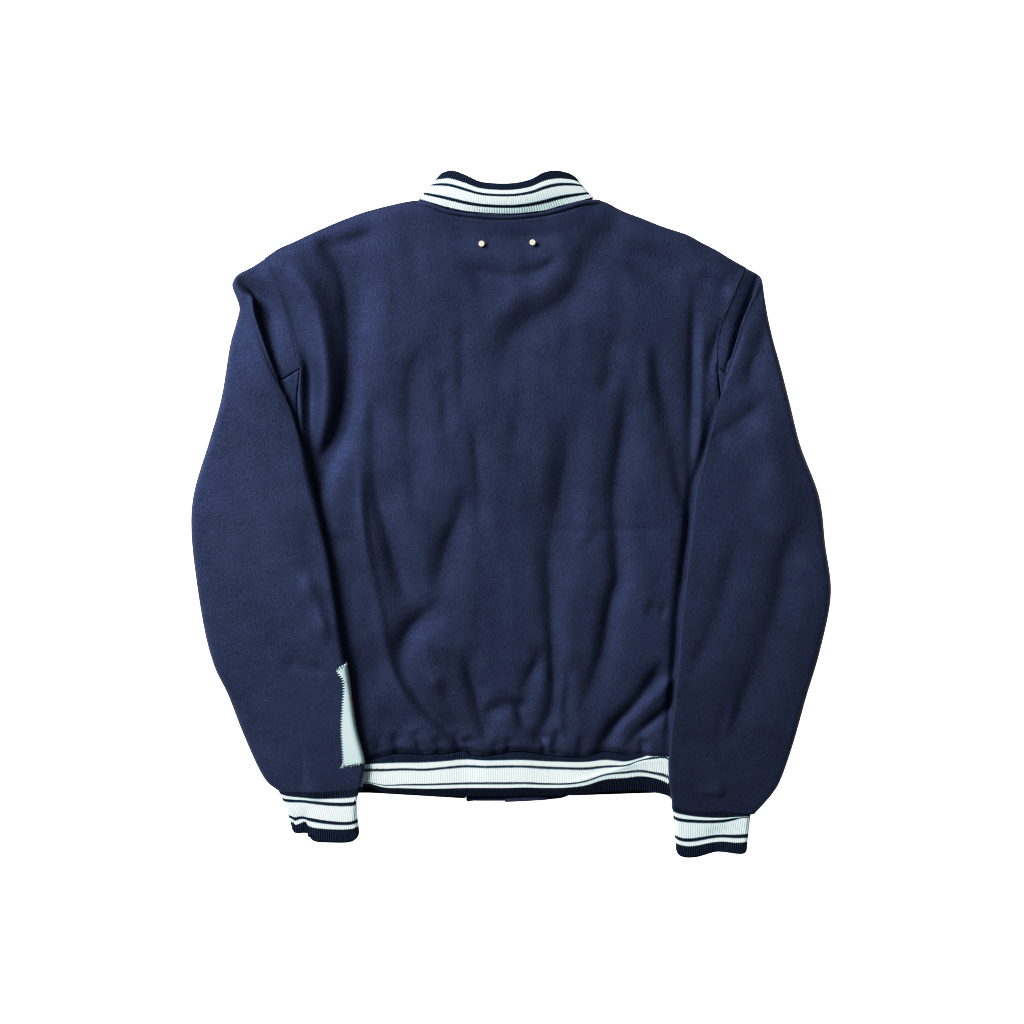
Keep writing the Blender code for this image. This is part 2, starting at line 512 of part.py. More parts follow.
# ---------------------------------------------------------------- collar and hem band
def make_collar():
    along, up = 44, 4
    table = np.array(COLLAR)
    chord = smooth(table[:, :6], along)
    bulge = smooth(np.column_stack([table[:, :6], table[:, 6:]]), along)[:, 6]
    share = np.linspace(0, 1, up + 1)[:, None, None]
    points = (1 - share) * chord[None, :, :3] + share * chord[None, :, 3:6]
    points[..., 2] += np.sin(math.pi * share[..., 0]) * bulge
    points[..., 2] = np.maximum(points[..., 2], 0.0)
    cloth("collar_rib", [points], KNIT, striped_knit("collar_rib"))


def make_hem_band():
    """The band from the left tab, round the left side, over the back, and round to the right tab."""
    rows = 3
    grid = []
    seam = smooth(HEM, 40)
    low = smooth(HEM_BAND_BOTTOM, 40)
    for row in range(rows + 1):
        share = row / rows
        y_nominal = HEM_LINE + share * (-0.315 - HEM_LINE)
        line = []
        for side in (-1, 1):
            edge = side_edge(side, y_nominal) - 0.001
            height = (1 - share) * body_top(side * edge, HEM_LINE) + share * HEM_BAND_BOTTOM_HEIGHT
            radius = height / 2
            tab_x = (TAB_SIDE_LEFT if side < 0 else TAB_SIDE_RIGHT) + side * SEAM
            y_front = HEM_LINE - HEM_BAND_TOP_GAP + share * (-0.3205 - HEM_LINE)
            y_side = HEM_LINE - HEM_BAND_TOP_GAP + share * (-0.315 - HEM_LINE)
            stretch = np.linspace(tab_x, side * (edge - radius), 5)
            part = [(x, np.interp(abs(x), [0.06, 0.16], [y_front, y_side]), 0.0) for x in stretch[:-1]]
            for step in range(5):
                turn = math.pi * step / 4
                part.append((side * (edge - radius + radius * math.sin(turn)), y_side,
                             radius * (1 - math.cos(turn))))
            line.append(part)
        across = np.linspace(line[0][-1][0], line[1][-1][0], 17)[1:-1]
        y_top = np.interp(across, seam[:, 0], seam[:, 1], left=HEM_LINE, right=HEM_LINE) - HEM_BAND_TOP_GAP
        y_low = np.interp(across, low[:, 0], low[:, 1])
        z_top = body_top(across, y_top + HEM_BAND_TOP_GAP)
        lifted = HEM_BAND_MIDDLE_RISE * (1 - ease(np.abs(across), 0.070, 0.150))
        back = np.column_stack([across, (1 - share) * y_top + share * y_low,
                                (1 - share) * z_top + share * (HEM_BAND_BOTTOM_HEIGHT + lifted)])
        grid.append(np.vstack([line[0], back, line[1][::-1]]))
    cloth("hem_rib", [np.array(grid[::-1])], KNIT, striped_knit("hem_rib"))


def make_tab(name, side):
    """A plain wool end of the hem band, at the centre front."""
    start, end = (OVERLAP_LEFT, TAB_SIDE_LEFT) if side < 0 else (TAB_SIDE_RIGHT, OVERLAP_RIGHT)
    bottom = TAB_BOTTOM_LEFT if side < 0 else TAB_BOTTOM_RIGHT
    x = np.linspace(start, end, 9)
    rows = [np.column_stack([x, np.full(9, y), front_rest(side, x)])
            for y in (bottom, (bottom + HEM_LINE) / 2, HEM_LINE - SEAM)]
    cloth(name, [np.array(rows)], WOOL, navy_wool(name))


# ---------------------------------------------------------------- studs and snap caps
def make_button(name, centre, radius, height, finish):
    """A low round cap with a bevelled rim, its underside at the given centre."""
    mesh_maker = bmesh.new()
    bmesh.ops.create_cone(mesh_maker, cap_ends=True, segments=20, radius1=radius, radius2=radius, depth=height)
    bmesh.ops.translate(mesh_maker, verts=mesh_maker.verts, vec=(centre[0], centre[1], centre[2] + height / 2))
    made = finish_object(name, mesh_maker, finish)
    rim = made.modifiers.new("rim", "BEVEL")
    rim.width = 0.3 * height
    rim.segments = 1


def make_fastenings():
    for name, at in STUDS:
        around = np.linspace(0, 2 * math.pi, 9)
        x = at.x + STUD_RADIUS * np.append(np.cos(around), 0)
        y = at.y + STUD_RADIUS * np.append(np.sin(around), 0)
        foot = float(body_top(x, y).max()) + SEAM
        brass = material(name + "_brass", (0.72, 0.66, 0.36), 0.3, 1.0)
        make_button(name, (at.x, at.y, foot), STUD_RADIUS, STUD_HEIGHT, brass)
    heights = list(np.linspace(SNAP_TOP_Y, SNAP_LOWEST_Y, SNAPS_ON_FRONT)) + [TAB_SNAP_Y]
    for number, y in enumerate(heights, start=1):
        enamel = material(f"snap_{number}_enamel", (0.012, 0.016, 0.035), 0.35)
        make_button(f"snap_{number}", (SNAP_X, y, 0.0), SNAP_RADIUS, SNAP_HEIGHT, enamel)


def clear_scene():
    for old in list(bpy.data.objects):
        bpy.data.objects.remove(old, do_unlink=True)


clear_scene()
make_back()
make_front("front_left", -1)
make_front("front_right", 1)
left_rings = make_sleeve("sleeve_left", SLEEVE_LEFT, ARMHOLE_LEFT, -1)
make_sleeve("sleeve_right", SLEEVE_RIGHT, ARMHOLE_RIGHT, 1)
make_cuff("cuff_left", CUFF_LEFT, -1)
make_cuff("cuff_right", CUFF_RIGHT, 1)
make_patch(left_rings)
make_collar()
make_hem_band()
make_tab("hem_tab_left", -1)
make_tab("hem_tab_right", 1)
make_fastenings()
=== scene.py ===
"""A navy wool bomber jacket with striped ribs, lying face down with its sleeves folded down over its sides.

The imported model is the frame: every cloth piece here is a finer shell in the place of its plain solid.
Metres, +Z up, +Y towards the collar, +X to the wearer's right.
"""

import math
from collections import namedtuple

import bmesh
import bpy
import numpy as np
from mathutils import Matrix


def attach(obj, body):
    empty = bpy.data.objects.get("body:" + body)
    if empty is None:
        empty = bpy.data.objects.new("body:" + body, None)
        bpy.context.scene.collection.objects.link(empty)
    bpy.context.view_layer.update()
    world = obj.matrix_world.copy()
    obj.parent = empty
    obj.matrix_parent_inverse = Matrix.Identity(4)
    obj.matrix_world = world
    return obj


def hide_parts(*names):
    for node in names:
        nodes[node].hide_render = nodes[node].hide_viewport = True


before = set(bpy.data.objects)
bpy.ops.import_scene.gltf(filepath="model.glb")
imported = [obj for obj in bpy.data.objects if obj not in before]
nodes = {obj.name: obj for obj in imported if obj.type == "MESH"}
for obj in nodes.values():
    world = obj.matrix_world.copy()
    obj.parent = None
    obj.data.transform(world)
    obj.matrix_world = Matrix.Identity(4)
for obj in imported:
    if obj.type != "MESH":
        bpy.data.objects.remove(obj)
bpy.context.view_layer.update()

# ---------------------------------------------------------------- table, light and camera
# The jacket lies on a white table by a large window at its upper left, with a pale room all round, and is
# looked at from straight above.
TABLE_SIZE = 8.0
CAMERA_HEIGHT = 3.0           # over the table
VIEW_HEIGHT = 0.012           # the level at which the view is VIEW_WIDTH across
VIEW_WIDTH = 1.157
VIEW_CENTRE_Y = 0.0028        # where the view's middle is, as y

mesh_maker = bmesh.new()
bmesh.ops.create_grid(mesh_maker, x_segments=1, y_segments=1, size=TABLE_SIZE / 2)
table_mesh = bpy.data.meshes.new("table")
mesh_maker.to_mesh(table_mesh)
mesh_maker.free()
table = bpy.data.objects.new("table", table_mesh)
bpy.context.scene.collection.objects.link(table)
table_paint = bpy.data.materials.new("table_paint")
table_paint.use_nodes = True
table_shader = table_paint.node_tree.nodes["Principled BSDF"]
table_shader.inputs["Base Color"].default_value = (0.93, 0.93, 0.93, 1)
table_shader.inputs["Roughness"].default_value = 0.8
table_shader.inputs["Specular IOR Level"].default_value = 0.1
table_shader.inputs["Emission Color"].default_value = (1.0, 1.0, 1.0, 1)
# a lit table: it glows more where it is looked at than where it lights the cloth, so it stays white
seen_straight = table_paint.node_tree.nodes.new("ShaderNodeLightPath")
glow = table_paint.node_tree.nodes.new("ShaderNodeMapRange")
glow.inputs["To Min"].default_value = 0.60
glow.inputs["To Max"].default_value = 1.60
table_paint.node_tree.links.new(seen_straight.outputs["Is Camera Ray"], glow.inputs["Value"])
table_paint.node_tree.links.new(glow.outputs["Result"], table_shader.inputs["Emission Strength"])
table_mesh.materials.append(table_paint)

room = bpy.data.worlds.new("room")
room.use_nodes = True
room.node_tree.nodes["Background"].inputs["Color"].default_value = (0.93, 0.97, 1.0, 1)
room.node_tree.nodes["Background"].inputs["Strength"].default_value = 0.13
bpy.context.scene.world = room


def window_light(name, place, size, power, colour):
    """A soft square light that faces the middle of the jacket."""
    lamp = bpy.data.lights.new(name, "AREA")
    lamp.size = size
    lamp.energy = power
    lamp.color = colour
    made = bpy.data.objects.new(name, lamp)
    made.location = place
    made.rotation_euler = (-made.location).to_track_quat("-Z", "Y").to_euler()
    bpy.context.scene.collection.objects.link(made)


window_light("window", (-2.2, 1.5, 1.95), 1.5, 225, (1.0, 0.99, 0.97))

lens = bpy.data.cameras.new("overhead")
lens.sensor_width = 36
lens.lens = 36 * (CAMERA_HEIGHT - VIEW_HEIGHT) / VIEW_WIDTH
overhead = bpy.data.objects.new("overhead", lens)
overhead.location = (0, VIEW_CENTRE_Y, CAMERA_HEIGHT)
bpy.context.scene.collection.objects.link(overhead)
bpy.context.scene.camera = overhead
bpy.context.scene.cycles.filter_width = 1.2
bpy.context.scene.view_settings.view_transform = "Standard"
bpy.context.scene.view_settings.use_curve_mapping = True
# an evenly lit picture: middle tones lifted, dark ones left as they are
tone_curve = bpy.context.scene.view_settings.curve_mapping
for light_in, light_out in ((0.10, 0.10), (0.30, 0.40), (0.55, 0.74), (0.85, 0.86)):
    tone_curve.curves[3].points.new(light_in, light_out)
tone_curve.curves[3].points[-1].location = (1.0, 0.92)
tone_curve.update()

# ---------------------------------------------------------------- back
# One piece of wool melton from the neck to the hem band, resting on the fronts and rolled down at the
# shoulders. Its seams stand a little proud over their turned edges, with a line of stitches beside them.
WOOL = 0.0020                 # thickness of the cloth
GRID_STEP = 0.0031            # between the lines of its grid
FINE_STEP = 0.0011            # between the grid's first lines at a seam
FINE_LINES = 10               # how many such lines
SHOULDER_EDGE = 0.0063        # height at the shoulder seams
BACK_LOWEST = 0.0046          # where a trough comes down on the fronts
BACK_LANDING = 0.0012         # how gradually it does
SHOULDER_ROLL = 0.018         # how far in from a shoulder seam the cloth starts to roll down
HEM_LINE = -0.281             # the seam with the hem band at the sides, as y
HEM_PULL = 0.0028             # how deep the seam with the hem band draws the wool in
ARMHOLE_RIDGE = 0.0011        # how far the turned edges under an armhole seam lift it
# lengths of the back's borders, which give its grid its even step
LEFT_SHOULDER = 0.183
NECK_LENGTH = 0.197
RIGHT_SHOULDER = 0.178
SIDE_SEAM = 0.447
ARMHOLE_SEAM = 0.133

Crown = namedtuple("Crown", "y centre side")
Edge = namedtuple("Edge", "y left right")
Fold = namedtuple("Fold", "name points widths rise")

NECK = [(-0.101, 0.3565), (-0.0848, 0.3497), (-0.0706, 0.3452), (-0.0424, 0.3411), (-0.0085, 0.3392),
        (0.0226, 0.3418), (0.0424, 0.3452), (0.0633, 0.3509), (0.0780, 0.3551), (0.0960, 0.3570)]
SHOULDER_LEFT = [(-0.280, 0.290), (-0.2643, 0.3010), (-0.2485, 0.308), (-0.2300, 0.3168), (-0.2090, 0.3262),
                 (-0.1876, 0.3350), (-0.1616, 0.3441), (-0.1228, 0.3535), (-0.101, 0.3565)]
SHOULDER_RIGHT = [(0.0960, 0.3570), (0.1080, 0.3528), (0.1243, 0.3441), (0.1480, 0.3350), (0.1706, 0.3260),
                  (0.1978, 0.3170), (0.2147, 0.3079), (0.2322, 0.2989), (0.2463, 0.2900), (0.265, 0.2795)]
ARMHOLE_LEFT = [(-0.240, 0.164), (-0.2486, 0.197), (-0.262, 0.2424), (-0.2746, 0.2695), (-0.280, 0.290)]
ARMHOLE_RIGHT = [(0.232, 0.168), (0.2328, 0.190), (0.2373, 0.213), (0.2463, 0.2356), (0.265, 0.2795)]
SIDE_LEFT = [(-0.188, HEM_LINE), (-0.210, -0.160), (-0.233, 0.0), (-0.243, 0.110), (-0.240, 0.164)]
SIDE_RIGHT = [(0.196, HEM_LINE), (0.219, -0.120), (0.234, 0.040), (0.236, 0.120), (0.232, 0.168)]
HEM = [(-0.188, HEM_LINE), (-0.1661, -0.2790), (-0.1435, -0.2727), (-0.1209, -0.2698), (-0.1045, -0.2711),
       (-0.0757, -0.2702), (-0.0531, -0.2674), (-0.0452, -0.2715), (-0.0305, -0.2729), (-0.0136, -0.2707),
       (0.0034, -0.2678), (0.0203, -0.2686), (0.0373, -0.2713), (0.0542, -0.2730), (0.0712, -0.2741),
       (0.0848, -0.2741), (0.0950, -0.2706), (0.1040, -0.2679), (0.1164, -0.2689), (0.1311, -0.2712),
       (0.1446, -0.2729), (0.1582, -0.2746), (0.1763, -0.2755), (0.196, HEM_LINE)]
# where the body's sides are folded round, left and right of the middle
EDGES = [Edge(0.165, 0.282, 0.275), Edge(0.0, 0.276, 0.272), Edge(-0.120, 0.258, 0.257),
         Edge(-0.220, 0.236, 0.238), Edge(HEM_LINE, 0.222, 0.229), Edge(-0.320, 0.216, 0.224)]
CROWNS = [Crown(0.360, 0.0110, 0.0100), Crown(0.300, 0.0132, 0.0115), Crown(0.200, 0.0148, 0.0122),
          Crown(0.0, 0.0154, 0.0122), Crown(-0.120, 0.0160, 0.0122), Crown(-0.220, 0.0160, 0.0122),
          Crown(-0.258, 0.0150, 0.0118), Crown(HEM_LINE, 0.0124, 0.0108)]
CROWN_HALF_WIDTH = 0.250      # from the middle to where the crown has come down

# Each fold is a soft trough, or a ridge where it rises: the line of its bottom or crest, its width at both
# ends (to where it is a third as deep) and its rise.
BACK_FOLDS = [
    Fold("broad trough inside the left armhole",
         [(-0.224, 0.328), (-0.208, 0.305), (-0.199, 0.290), (-0.189, 0.271), (-0.1835, 0.251),
          (-0.183, 0.228), (-0.183, 0.195), (-0.1845, 0.162), (-0.1885, 0.128), (-0.198, 0.095),
          (-0.210, 0.070), (-0.219, 0.050), (-0.230, 0.020), (-0.240, -0.020)], (0.0080, 0.0080), -0.0114),
    Fold("ridge beside it",
         [(-0.270, 0.298), (-0.248, 0.276), (-0.229, 0.250), (-0.2180, 0.222), (-0.2110, 0.185),
          (-0.2090, 0.150), (-0.2130, 0.110), (-0.2190, 0.080), (-0.226, 0.040)], (0.0125, 0.0110), 0.0096),
    Fold("its upper branch",
         [(-0.226, 0.298), (-0.206, 0.305), (-0.186, 0.309), (-0.166, 0.315), (-0.150, 0.324)],
         (0.0060, 0.0060), -0.0030),
    Fold("narrow trough beside the left side seam",
         [(-0.236, 0.195), (-0.2305, 0.163), (-0.2282, 0.129), (-0.2275, 0.090), (-0.2275, 0.052),
          (-0.223, 0.010)], (0.0044, 0.0052), -0.0086),
    Fold("piped ridge of the left side seam", [(-0.2385, 0.175), (-0.2385, 0.135), (-0.237, 0.080)],
         (0.0024, 0.0024), 0.0018),
    Fold("hollow under the collar",
         [(-0.092, 0.334), (-0.055, 0.319), (-0.022, 0.3140), (0.010, 0.3130), (0.040, 0.3150),
          (0.072, 0.322), (0.100, 0.336)], (0.0080, 0.0080), -0.0036),
    Fold("dip across the shoulder blades",
         [(0.087, 0.356), (0.084, 0.328), (0.0825, 0.298), (0.075, 0.265), (0.056, 0.240), (0.033, 0.2255),
          (0.016, 0.2175), (0.004, 0.205), (-0.004, 0.190), (-0.008, 0.172), (-0.012, 0.150),
          (-0.014, 0.122)], (0.0095, 0.0140), -0.0042),
    Fold("dip below the studs",
         [(-0.068, 0.287), (-0.045, 0.2765), (-0.020, 0.2705), (0.003, 0.2695), (0.027, 0.2745),
          (0.045, 0.284), (0.062, 0.299)], (0.0065, 0.0065), -0.0040),
    Fold("rise between the two dips", [(0.062, 0.293), (0.045, 0.268), (0.018, 0.251), (0.000, 0.236),
                                       (-0.020, 0.214), (-0.030, 0.180)], (0.0150, 0.0140), 0.0022),
    Fold("hollow behind the right shoulder",
         [(0.080, 0.322), (0.105, 0.306), (0.130, 0.294), (0.156, 0.284), (0.184, 0.277), (0.215, 0.274)],
         (0.0125, 0.0110), -0.0094),
    Fold("hollow at the right armhole", [(0.192, 0.272), (0.210, 0.263), (0.230, 0.257), (0.250, 0.255)],
         (0.0070, 0.0060), -0.0036),
    Fold("faint drape, far left", [(-0.159, 0.145), (-0.157, 0.108), (-0.157, 0.075), (-0.156, 0.042),
                                   (-0.151, 0.015)], (0.0055, 0.0060), -0.0026),
    Fold("soft drape, left",
         [(-0.078, 0.218), (-0.092, 0.196), (-0.106, 0.176), (-0.115, 0.152), (-0.1155, 0.100),
          (-0.1145, 0.045), (-0.109, 0.012), (-0.102, -0.015)], (0.0100, 0.0070), -0.0027),
    Fold("faint drape, middle left", [(-0.054, 0.226), (-0.056, 0.200), (-0.056, 0.160), (-0.057, 0.128),
                                      (-0.058, 0.104)], (0.0060, 0.0060), -0.0019),
    Fold("short drape, middle left", [(-0.077, 0.166), (-0.076, 0.140), (-0.076, 0.105), (-0.077, 0.085)],
         (0.0050, 0.0050), -0.0017),
    Fold("faint crease, middle left", [(-0.045, 0.106), (-0.042, 0.086), (-0.038, 0.034), (-0.037, 0.000),
                                       (-0.035, -0.022)], (0.0040, 0.0050), -0.0020),
    Fold("faint drape, right", [(0.117, 0.212), (0.113, 0.188), (0.107, 0.155), (0.104, 0.128)],
         (0.0070, 0.0070), -0.0019),
    Fold("faint crease, middle",
         [(0.000, 0.118), (0.003, 0.095), (0.001, 0.070)], (0.0045, 0.0045), -0.0009),
    Fold("ridge along the left side",
         [(-0.172, 0.085), (-0.171, 0.040), (-0.168, -0.016), (-0.1595, -0.066), (-0.149, -0.116),
          (-0.143, -0.149), (-0.1345, -0.179), (-0.118, -0.209), (-0.095, -0.2355), (-0.075, -0.252),
          (-0.060, -0.272)], (0.0045, 0.0045), 0.0030),
    Fold("long trough of the left side",
         [(-0.158, 0.052), (-0.151, 0.017), (-0.1405, -0.023), (-0.1335, -0.049), (-0.123, -0.079),
          (-0.113, -0.100), (-0.104, -0.120)], (0.0060, 0.0105), -0.0074),
    Fold("slope beside the left sleeve",
         [(-0.199, -0.020), (-0.1935, -0.062), (-0.1870, -0.100), (-0.1820, -0.140), (-0.1760, -0.180),
          (-0.1680, -0.225)], (0.0130, 0.0130), -0.0034),
    Fold("branch that meets it",
         [(-0.046, 0.036), (-0.055, 0.011), (-0.063, -0.0095), (-0.071, -0.028), (-0.0765, -0.050),
          (-0.082, -0.068), (-0.090, -0.092)], (0.0095, 0.0085), -0.0054),
    Fold("deep pull down to the hem, left",
         [(-0.068, -0.076), (-0.0865, -0.1035), (-0.105, -0.119), (-0.117, -0.132), (-0.1235, -0.150),
          (-0.1235, -0.168), (-0.118, -0.184), (-0.110, -0.198), (-0.096, -0.219), (-0.077, -0.237),
          (-0.064, -0.252), (-0.055, -0.268), (-0.050, -0.288)], (0.0105, 0.0085), -0.0082),
    Fold("swell beside it", [(-0.106, -0.120), (-0.100, -0.145), (-0.092, -0.172), (-0.078, -0.208)],
         (0.0130, 0.0140), 0.0040),
    Fold("fine pull beside it", [(-0.091, -0.158), (-0.085, -0.179), (-0.074, -0.203), (-0.061, -0.233),
                                 (-0.053, -0.254)], (0.0045, 0.0045), -0.0026),
    Fold("broad hollow, low left", [(-0.158, -0.130), (-0.152, -0.160), (-0.148, -0.190), (-0.138, -0.216),
                                    (-0.120, -0.241), (-0.100, -0.262)], (0.0130, 0.0110), -0.0040),
    Fold("pull above the hem, centre left",
         [(-0.055, -0.146), (-0.049, -0.176), (-0.041, -0.202), (-0.036, -0.226), (-0.031, -0.244),
          (-0.027, -0.266)], (0.0060, 0.0060), -0.0056),
    Fold("middle trough",
         [(0.065, 0.130), (0.064, 0.090), (0.062, 0.064), (0.058, 0.035), (0.052, 0.005), (0.0455, -0.025),
          (0.0425, -0.050), (0.0420, -0.078), (0.043, -0.108)], (0.0140, 0.0110), -0.0060),
    Fold("middle trough, lower part",
         [(0.0425, -0.055), (0.0440, -0.083), (0.0440, -0.116), (0.0455, -0.149), (0.0470, -0.182),
          (0.0465, -0.210), (0.041, -0.230), (0.034, -0.242), (0.029, -0.254), (0.028, -0.276)],
         (0.0065, 0.0055), -0.0060),
    Fold("its branch",
         [(0.037, -0.146), (0.029, -0.1645), (0.0205, -0.181), (0.0145, -0.193), (0.008, -0.207)],
         (0.0060, 0.0055), -0.0036),
    Fold("left arm of the hem's V",
         [(-0.036, -0.228), (-0.0215, -0.2205), (-0.005, -0.2150), (0.010, -0.2145), (0.024, -0.221)],
         (0.0055, 0.0050), -0.0044),
    Fold("the V's foot",
         [(0.003, -0.209), (0.008, -0.222), (0.0145, -0.236), (0.024, -0.246), (0.034, -0.253),
          (0.043, -0.256)], (0.0044, 0.0040), -0.0048),
    Fold("long trough, right",
         [(0.134, 0.178), (0.131, 0.145), (0.1270, 0.110), (0.1230, 0.078), (0.1190, 0.050),
          (0.1155, 0.017), (0.1170, -0.016), (0.1190, -0.049), (0.1200, -0.072), (0.1125, -0.095),
          (0.1075, -0.126), (0.1025, -0.156), (0.0925, -0.185), (0.0810, -0.214), (0.0720, -0.233),
          (0.063, -0.254)], (0.0070, 0.0080), -0.0058),
    Fold("fine crease above the hem",
         [(0.060, -0.162), (0.0630, -0.189), (0.0612, -0.216), (0.0625, -0.242), (0.064, -0.264)],
         (0.0034, 0.0034), -0.0026),
    Fold("faint line across the back", [(0.006, -0.016), (0.045, -0.018), (0.085, -0.019), (0.120, -0.0175),
                                        (0.160, -0.0175), (0.200, -0.020)], (0.0018, 0.0018), -0.0007),
    Fold("slant above it", [(0.076, -0.040), (0.088, -0.032), (0.102, -0.018)], (0.0040, 0.0040), -0.0012),
    Fold("dent beside the left sleeve",
         [(-0.226, -0.016), (-0.208, -0.028), (-0.190, -0.033), (-0.175, -0.030)],
         (0.0060, 0.0060), -0.0024),
    Fold("small dent, right",
         [(0.148, -0.102), (0.162, -0.108), (0.178, -0.110)], (0.0045, 0.0045), -0.0020),
    Fold("trough beside the right sleeve",
         [(0.157, 0.204), (0.1640, 0.165), (0.1720, 0.128), (0.1815, 0.079), (0.1880, 0.042),
          (0.1950, 0.010), (0.200, -0.024)], (0.0085, 0.0060), -0.0036),
    Fold("rise before it",
         [(0.149, 0.206), (0.153, 0.170), (0.156, 0.130), (0.163, 0.095)], (0.0070, 0.0070), 0.0020),
    Fold("fold along the right sleeve",
         [(0.208, 0.282), (0.206, 0.250), (0.2045, 0.200), (0.2040, 0.150), (0.2030, 0.100),
          (0.2025, 0.050), (0.2020, 0.010), (0.2010, -0.020), (0.199, -0.050)], (0.0046, 0.0040), -0.0042),
    Fold("fold against the right sleeve",
         [(0.2370, 0.165), (0.2345, 0.140), (0.2240, 0.100), (0.2125, 0.060), (0.2030, 0.020),
          (0.1985, -0.020), (0.1930, -0.065), (0.1875, -0.108), (0.1845, -0.153), (0.1800, -0.204),
          (0.1755, -0.249), (0.1745, -0.290)], (0.0036, 0.0030), -0.0062),
    Fold("ridge along the right sleeve",
         [(0.215, 0.225), (0.2140, 0.180), (0.2130, 0.140), (0.2120, 0.100), (0.210, 0.055), (0.207, 0.015)],
         (0.0046, 0.0042), 0.0028),
    Fold("fold inside the right armhole", [(0.240, 0.228), (0.232, 0.200), (0.226, 0.176), (0.222, 0.150)],
         (0.0045, 0.0045), -0.0030),
    Fold("upper pull, right of the hem",
         [(0.176, -0.158), (0.164, -0.178), (0.1555, -0.192), (0.138, -0.216), (0.118, -0.236),
          (0.1045, -0.256), (0.0975, -0.272), (0.092, -0.292)], (0.0050, 0.0065), -0.0066),
    Fold("ridge below it",
         [(0.196, -0.168), (0.180, -0.187), (0.161, -0.206), (0.143, -0.223), (0.125, -0.240),
          (0.113, -0.258)], (0.0048, 0.0045), 0.0024),
    Fold("lower pull, right of the hem",
         [(0.204, -0.190), (0.186, -0.2085), (0.168, -0.2255), (0.1515, -0.239), (0.135, -0.2555),
          (0.125, -0.270)], (0.0045, 0.0045), -0.0056),
    Fold("second ridge", [(0.200, -0.206), (0.178, -0.228), (0.158, -0.244), (0.142, -0.260)],
         (0.0040, 0.0040), 0.0014),
    Fold("dimple at its foot",
         [(0.142, -0.256), (0.148, -0.262), (0.156, -0.263)], (0.0030, 0.0030), -0.0020),
]
# small gathers where the cloth is sewn to the hem band
HEM_GATHERS = [
    Fold("gather 1", [(-0.136, -0.246), (-0.131, -0.258), (-0.131, -0.278)], (0.0028, 0.0028), -0.0026),
    Fold("gather 2", [(-0.112, -0.244), (-0.106, -0.258), (-0.096, -0.275)], (0.0028, 0.0030), -0.0034),
    Fold("gather 3", [(-0.066, -0.244), (-0.062, -0.256), (-0.056, -0.274)], (0.0028, 0.0028), -0.0034),
    Fold("gather 4", [(-0.052, -0.250), (-0.050, -0.260), (-0.044, -0.278)], (0.0030, 0.0030), -0.0036),
    Fold("gather 5", [(-0.002, -0.250), (-0.004, -0.262), (-0.006, -0.276)], (0.0026, 0.0026), -0.0020),
    Fold("gather 6", [(0.034, -0.246), (0.036, -0.260), (0.036, -0.277)], (0.0022, 0.0024), -0.0030),
    Fold("gather 7", [(0.045, -0.244), (0.0465, -0.260), (0.046, -0.277)], (0.0022, 0.0024), -0.0028),
    Fold("gather 8", [(0.053, -0.240), (0.0515, -0.255), (0.052, -0.276)], (0.0022, 0.0024), -0.0026),
    Fold("gather 9", [(0.150, -0.250), (0.1475, -0.262), (0.146, -0.280)], (0.0026, 0.0026), -0.0020),
    Fold("gather 10", [(-0.152, -0.248), (-0.151, -0.264), (-0.153, -0.282)], (0.0030, 0.0030), -0.0016),
    Fold("gather 11", [(-0.086, -0.250), (-0.084, -0.262), (-0.080, -0.276)], (0.0026, 0.0026), -0.0020),
    Fold("gather 12", [(0.078, -0.250), (0.077, -0.264), (0.078, -0.280)], (0.0028, 0.0028), -0.0018),
    Fold("gather 13", [(-0.018, -0.252), (-0.018, -0.264), (-0.021, -0.278)], (0.0026, 0.0026), -0.0014),
]


def run_along(line):
    """Distance along a line of points, at each of them."""
    return np.concatenate([[0.0], np.cumsum(np.linalg.norm(np.diff(line, axis=0), axis=1))])


def smooth(points, count):
    """`count` + 1 points on a Catmull-Rom curve through `points`, evenly spaced along their chords."""
    known = np.array(points, dtype=float)
    padded = np.vstack([2 * known[0] - known[1], known, 2 * known[-1] - known[-2]])
    chord = run_along(known)
    wanted = np.linspace(0.0, chord[-1], count + 1)
    span = np.clip(np.searchsorted(chord, wanted, side="right") - 1, 0, len(known) - 2)
    t = ((wanted - chord[span]) / (chord[span + 1] - chord[span]))[:, None]
    a, b, c, d = (padded[span + k] for k in range(4))
    return 0.5 * (2 * b + (c - a) * t + (2 * a - 5 * b + 4 * c - d) * t ** 2
                  + (3 * b - a - 3 * c + d) * t ** 3)


def at_shares(points, shares):
    """Points at the given shares of the length of the smooth curve through `points`."""
    line = smooth(points, 600)
    run = run_along(line)
    return np.column_stack([np.interp(shares, run / run[-1], values) for values in line.T])


def column(table, name, y):
    """The value of a table's named column at y, by straight interpolation."""
    rows = sorted(table, key=lambda row: row.y)
    return np.interp(y, [row.y for row in rows], [getattr(row, name) for row in rows])


def ease(value, start, end):
    """0 at `start`, 1 at `end`, smooth between."""
    t = np.clip((value - start) / (end - start), 0.0, 1.0)
    return t * t * (3 - 2 * t)


def from_curve(x, y, points, samples=30):
    """Distance of each (x, y) from a smooth curve, and the share of its length where it is nearest."""
    line = smooth(points, samples)
    best = np.full(np.shape(x), np.inf)
    share = np.zeros(np.shape(x))
    for number, (start, end) in enumerate(zip(line[:-1], line[1:])):
        run = end - start
        t = np.clip(((x - start[0]) * run[0] + (y - start[1]) * run[1]) / (run @ run), 0, 1)
        away = np.hypot(x - start[0] - t * run[0], y - start[1] - t * run[1])
        nearer = away < best
        best = np.where(nearer, away, best)
        share = np.where(nearer, (number + t) / samples, share)
    return best, share


WINDOW_SIDE = (-0.90, 0.43)   # troughs are steep towards here, and rise slowly on their other side
GENTLE = 2.2                  # how many times wider that side is


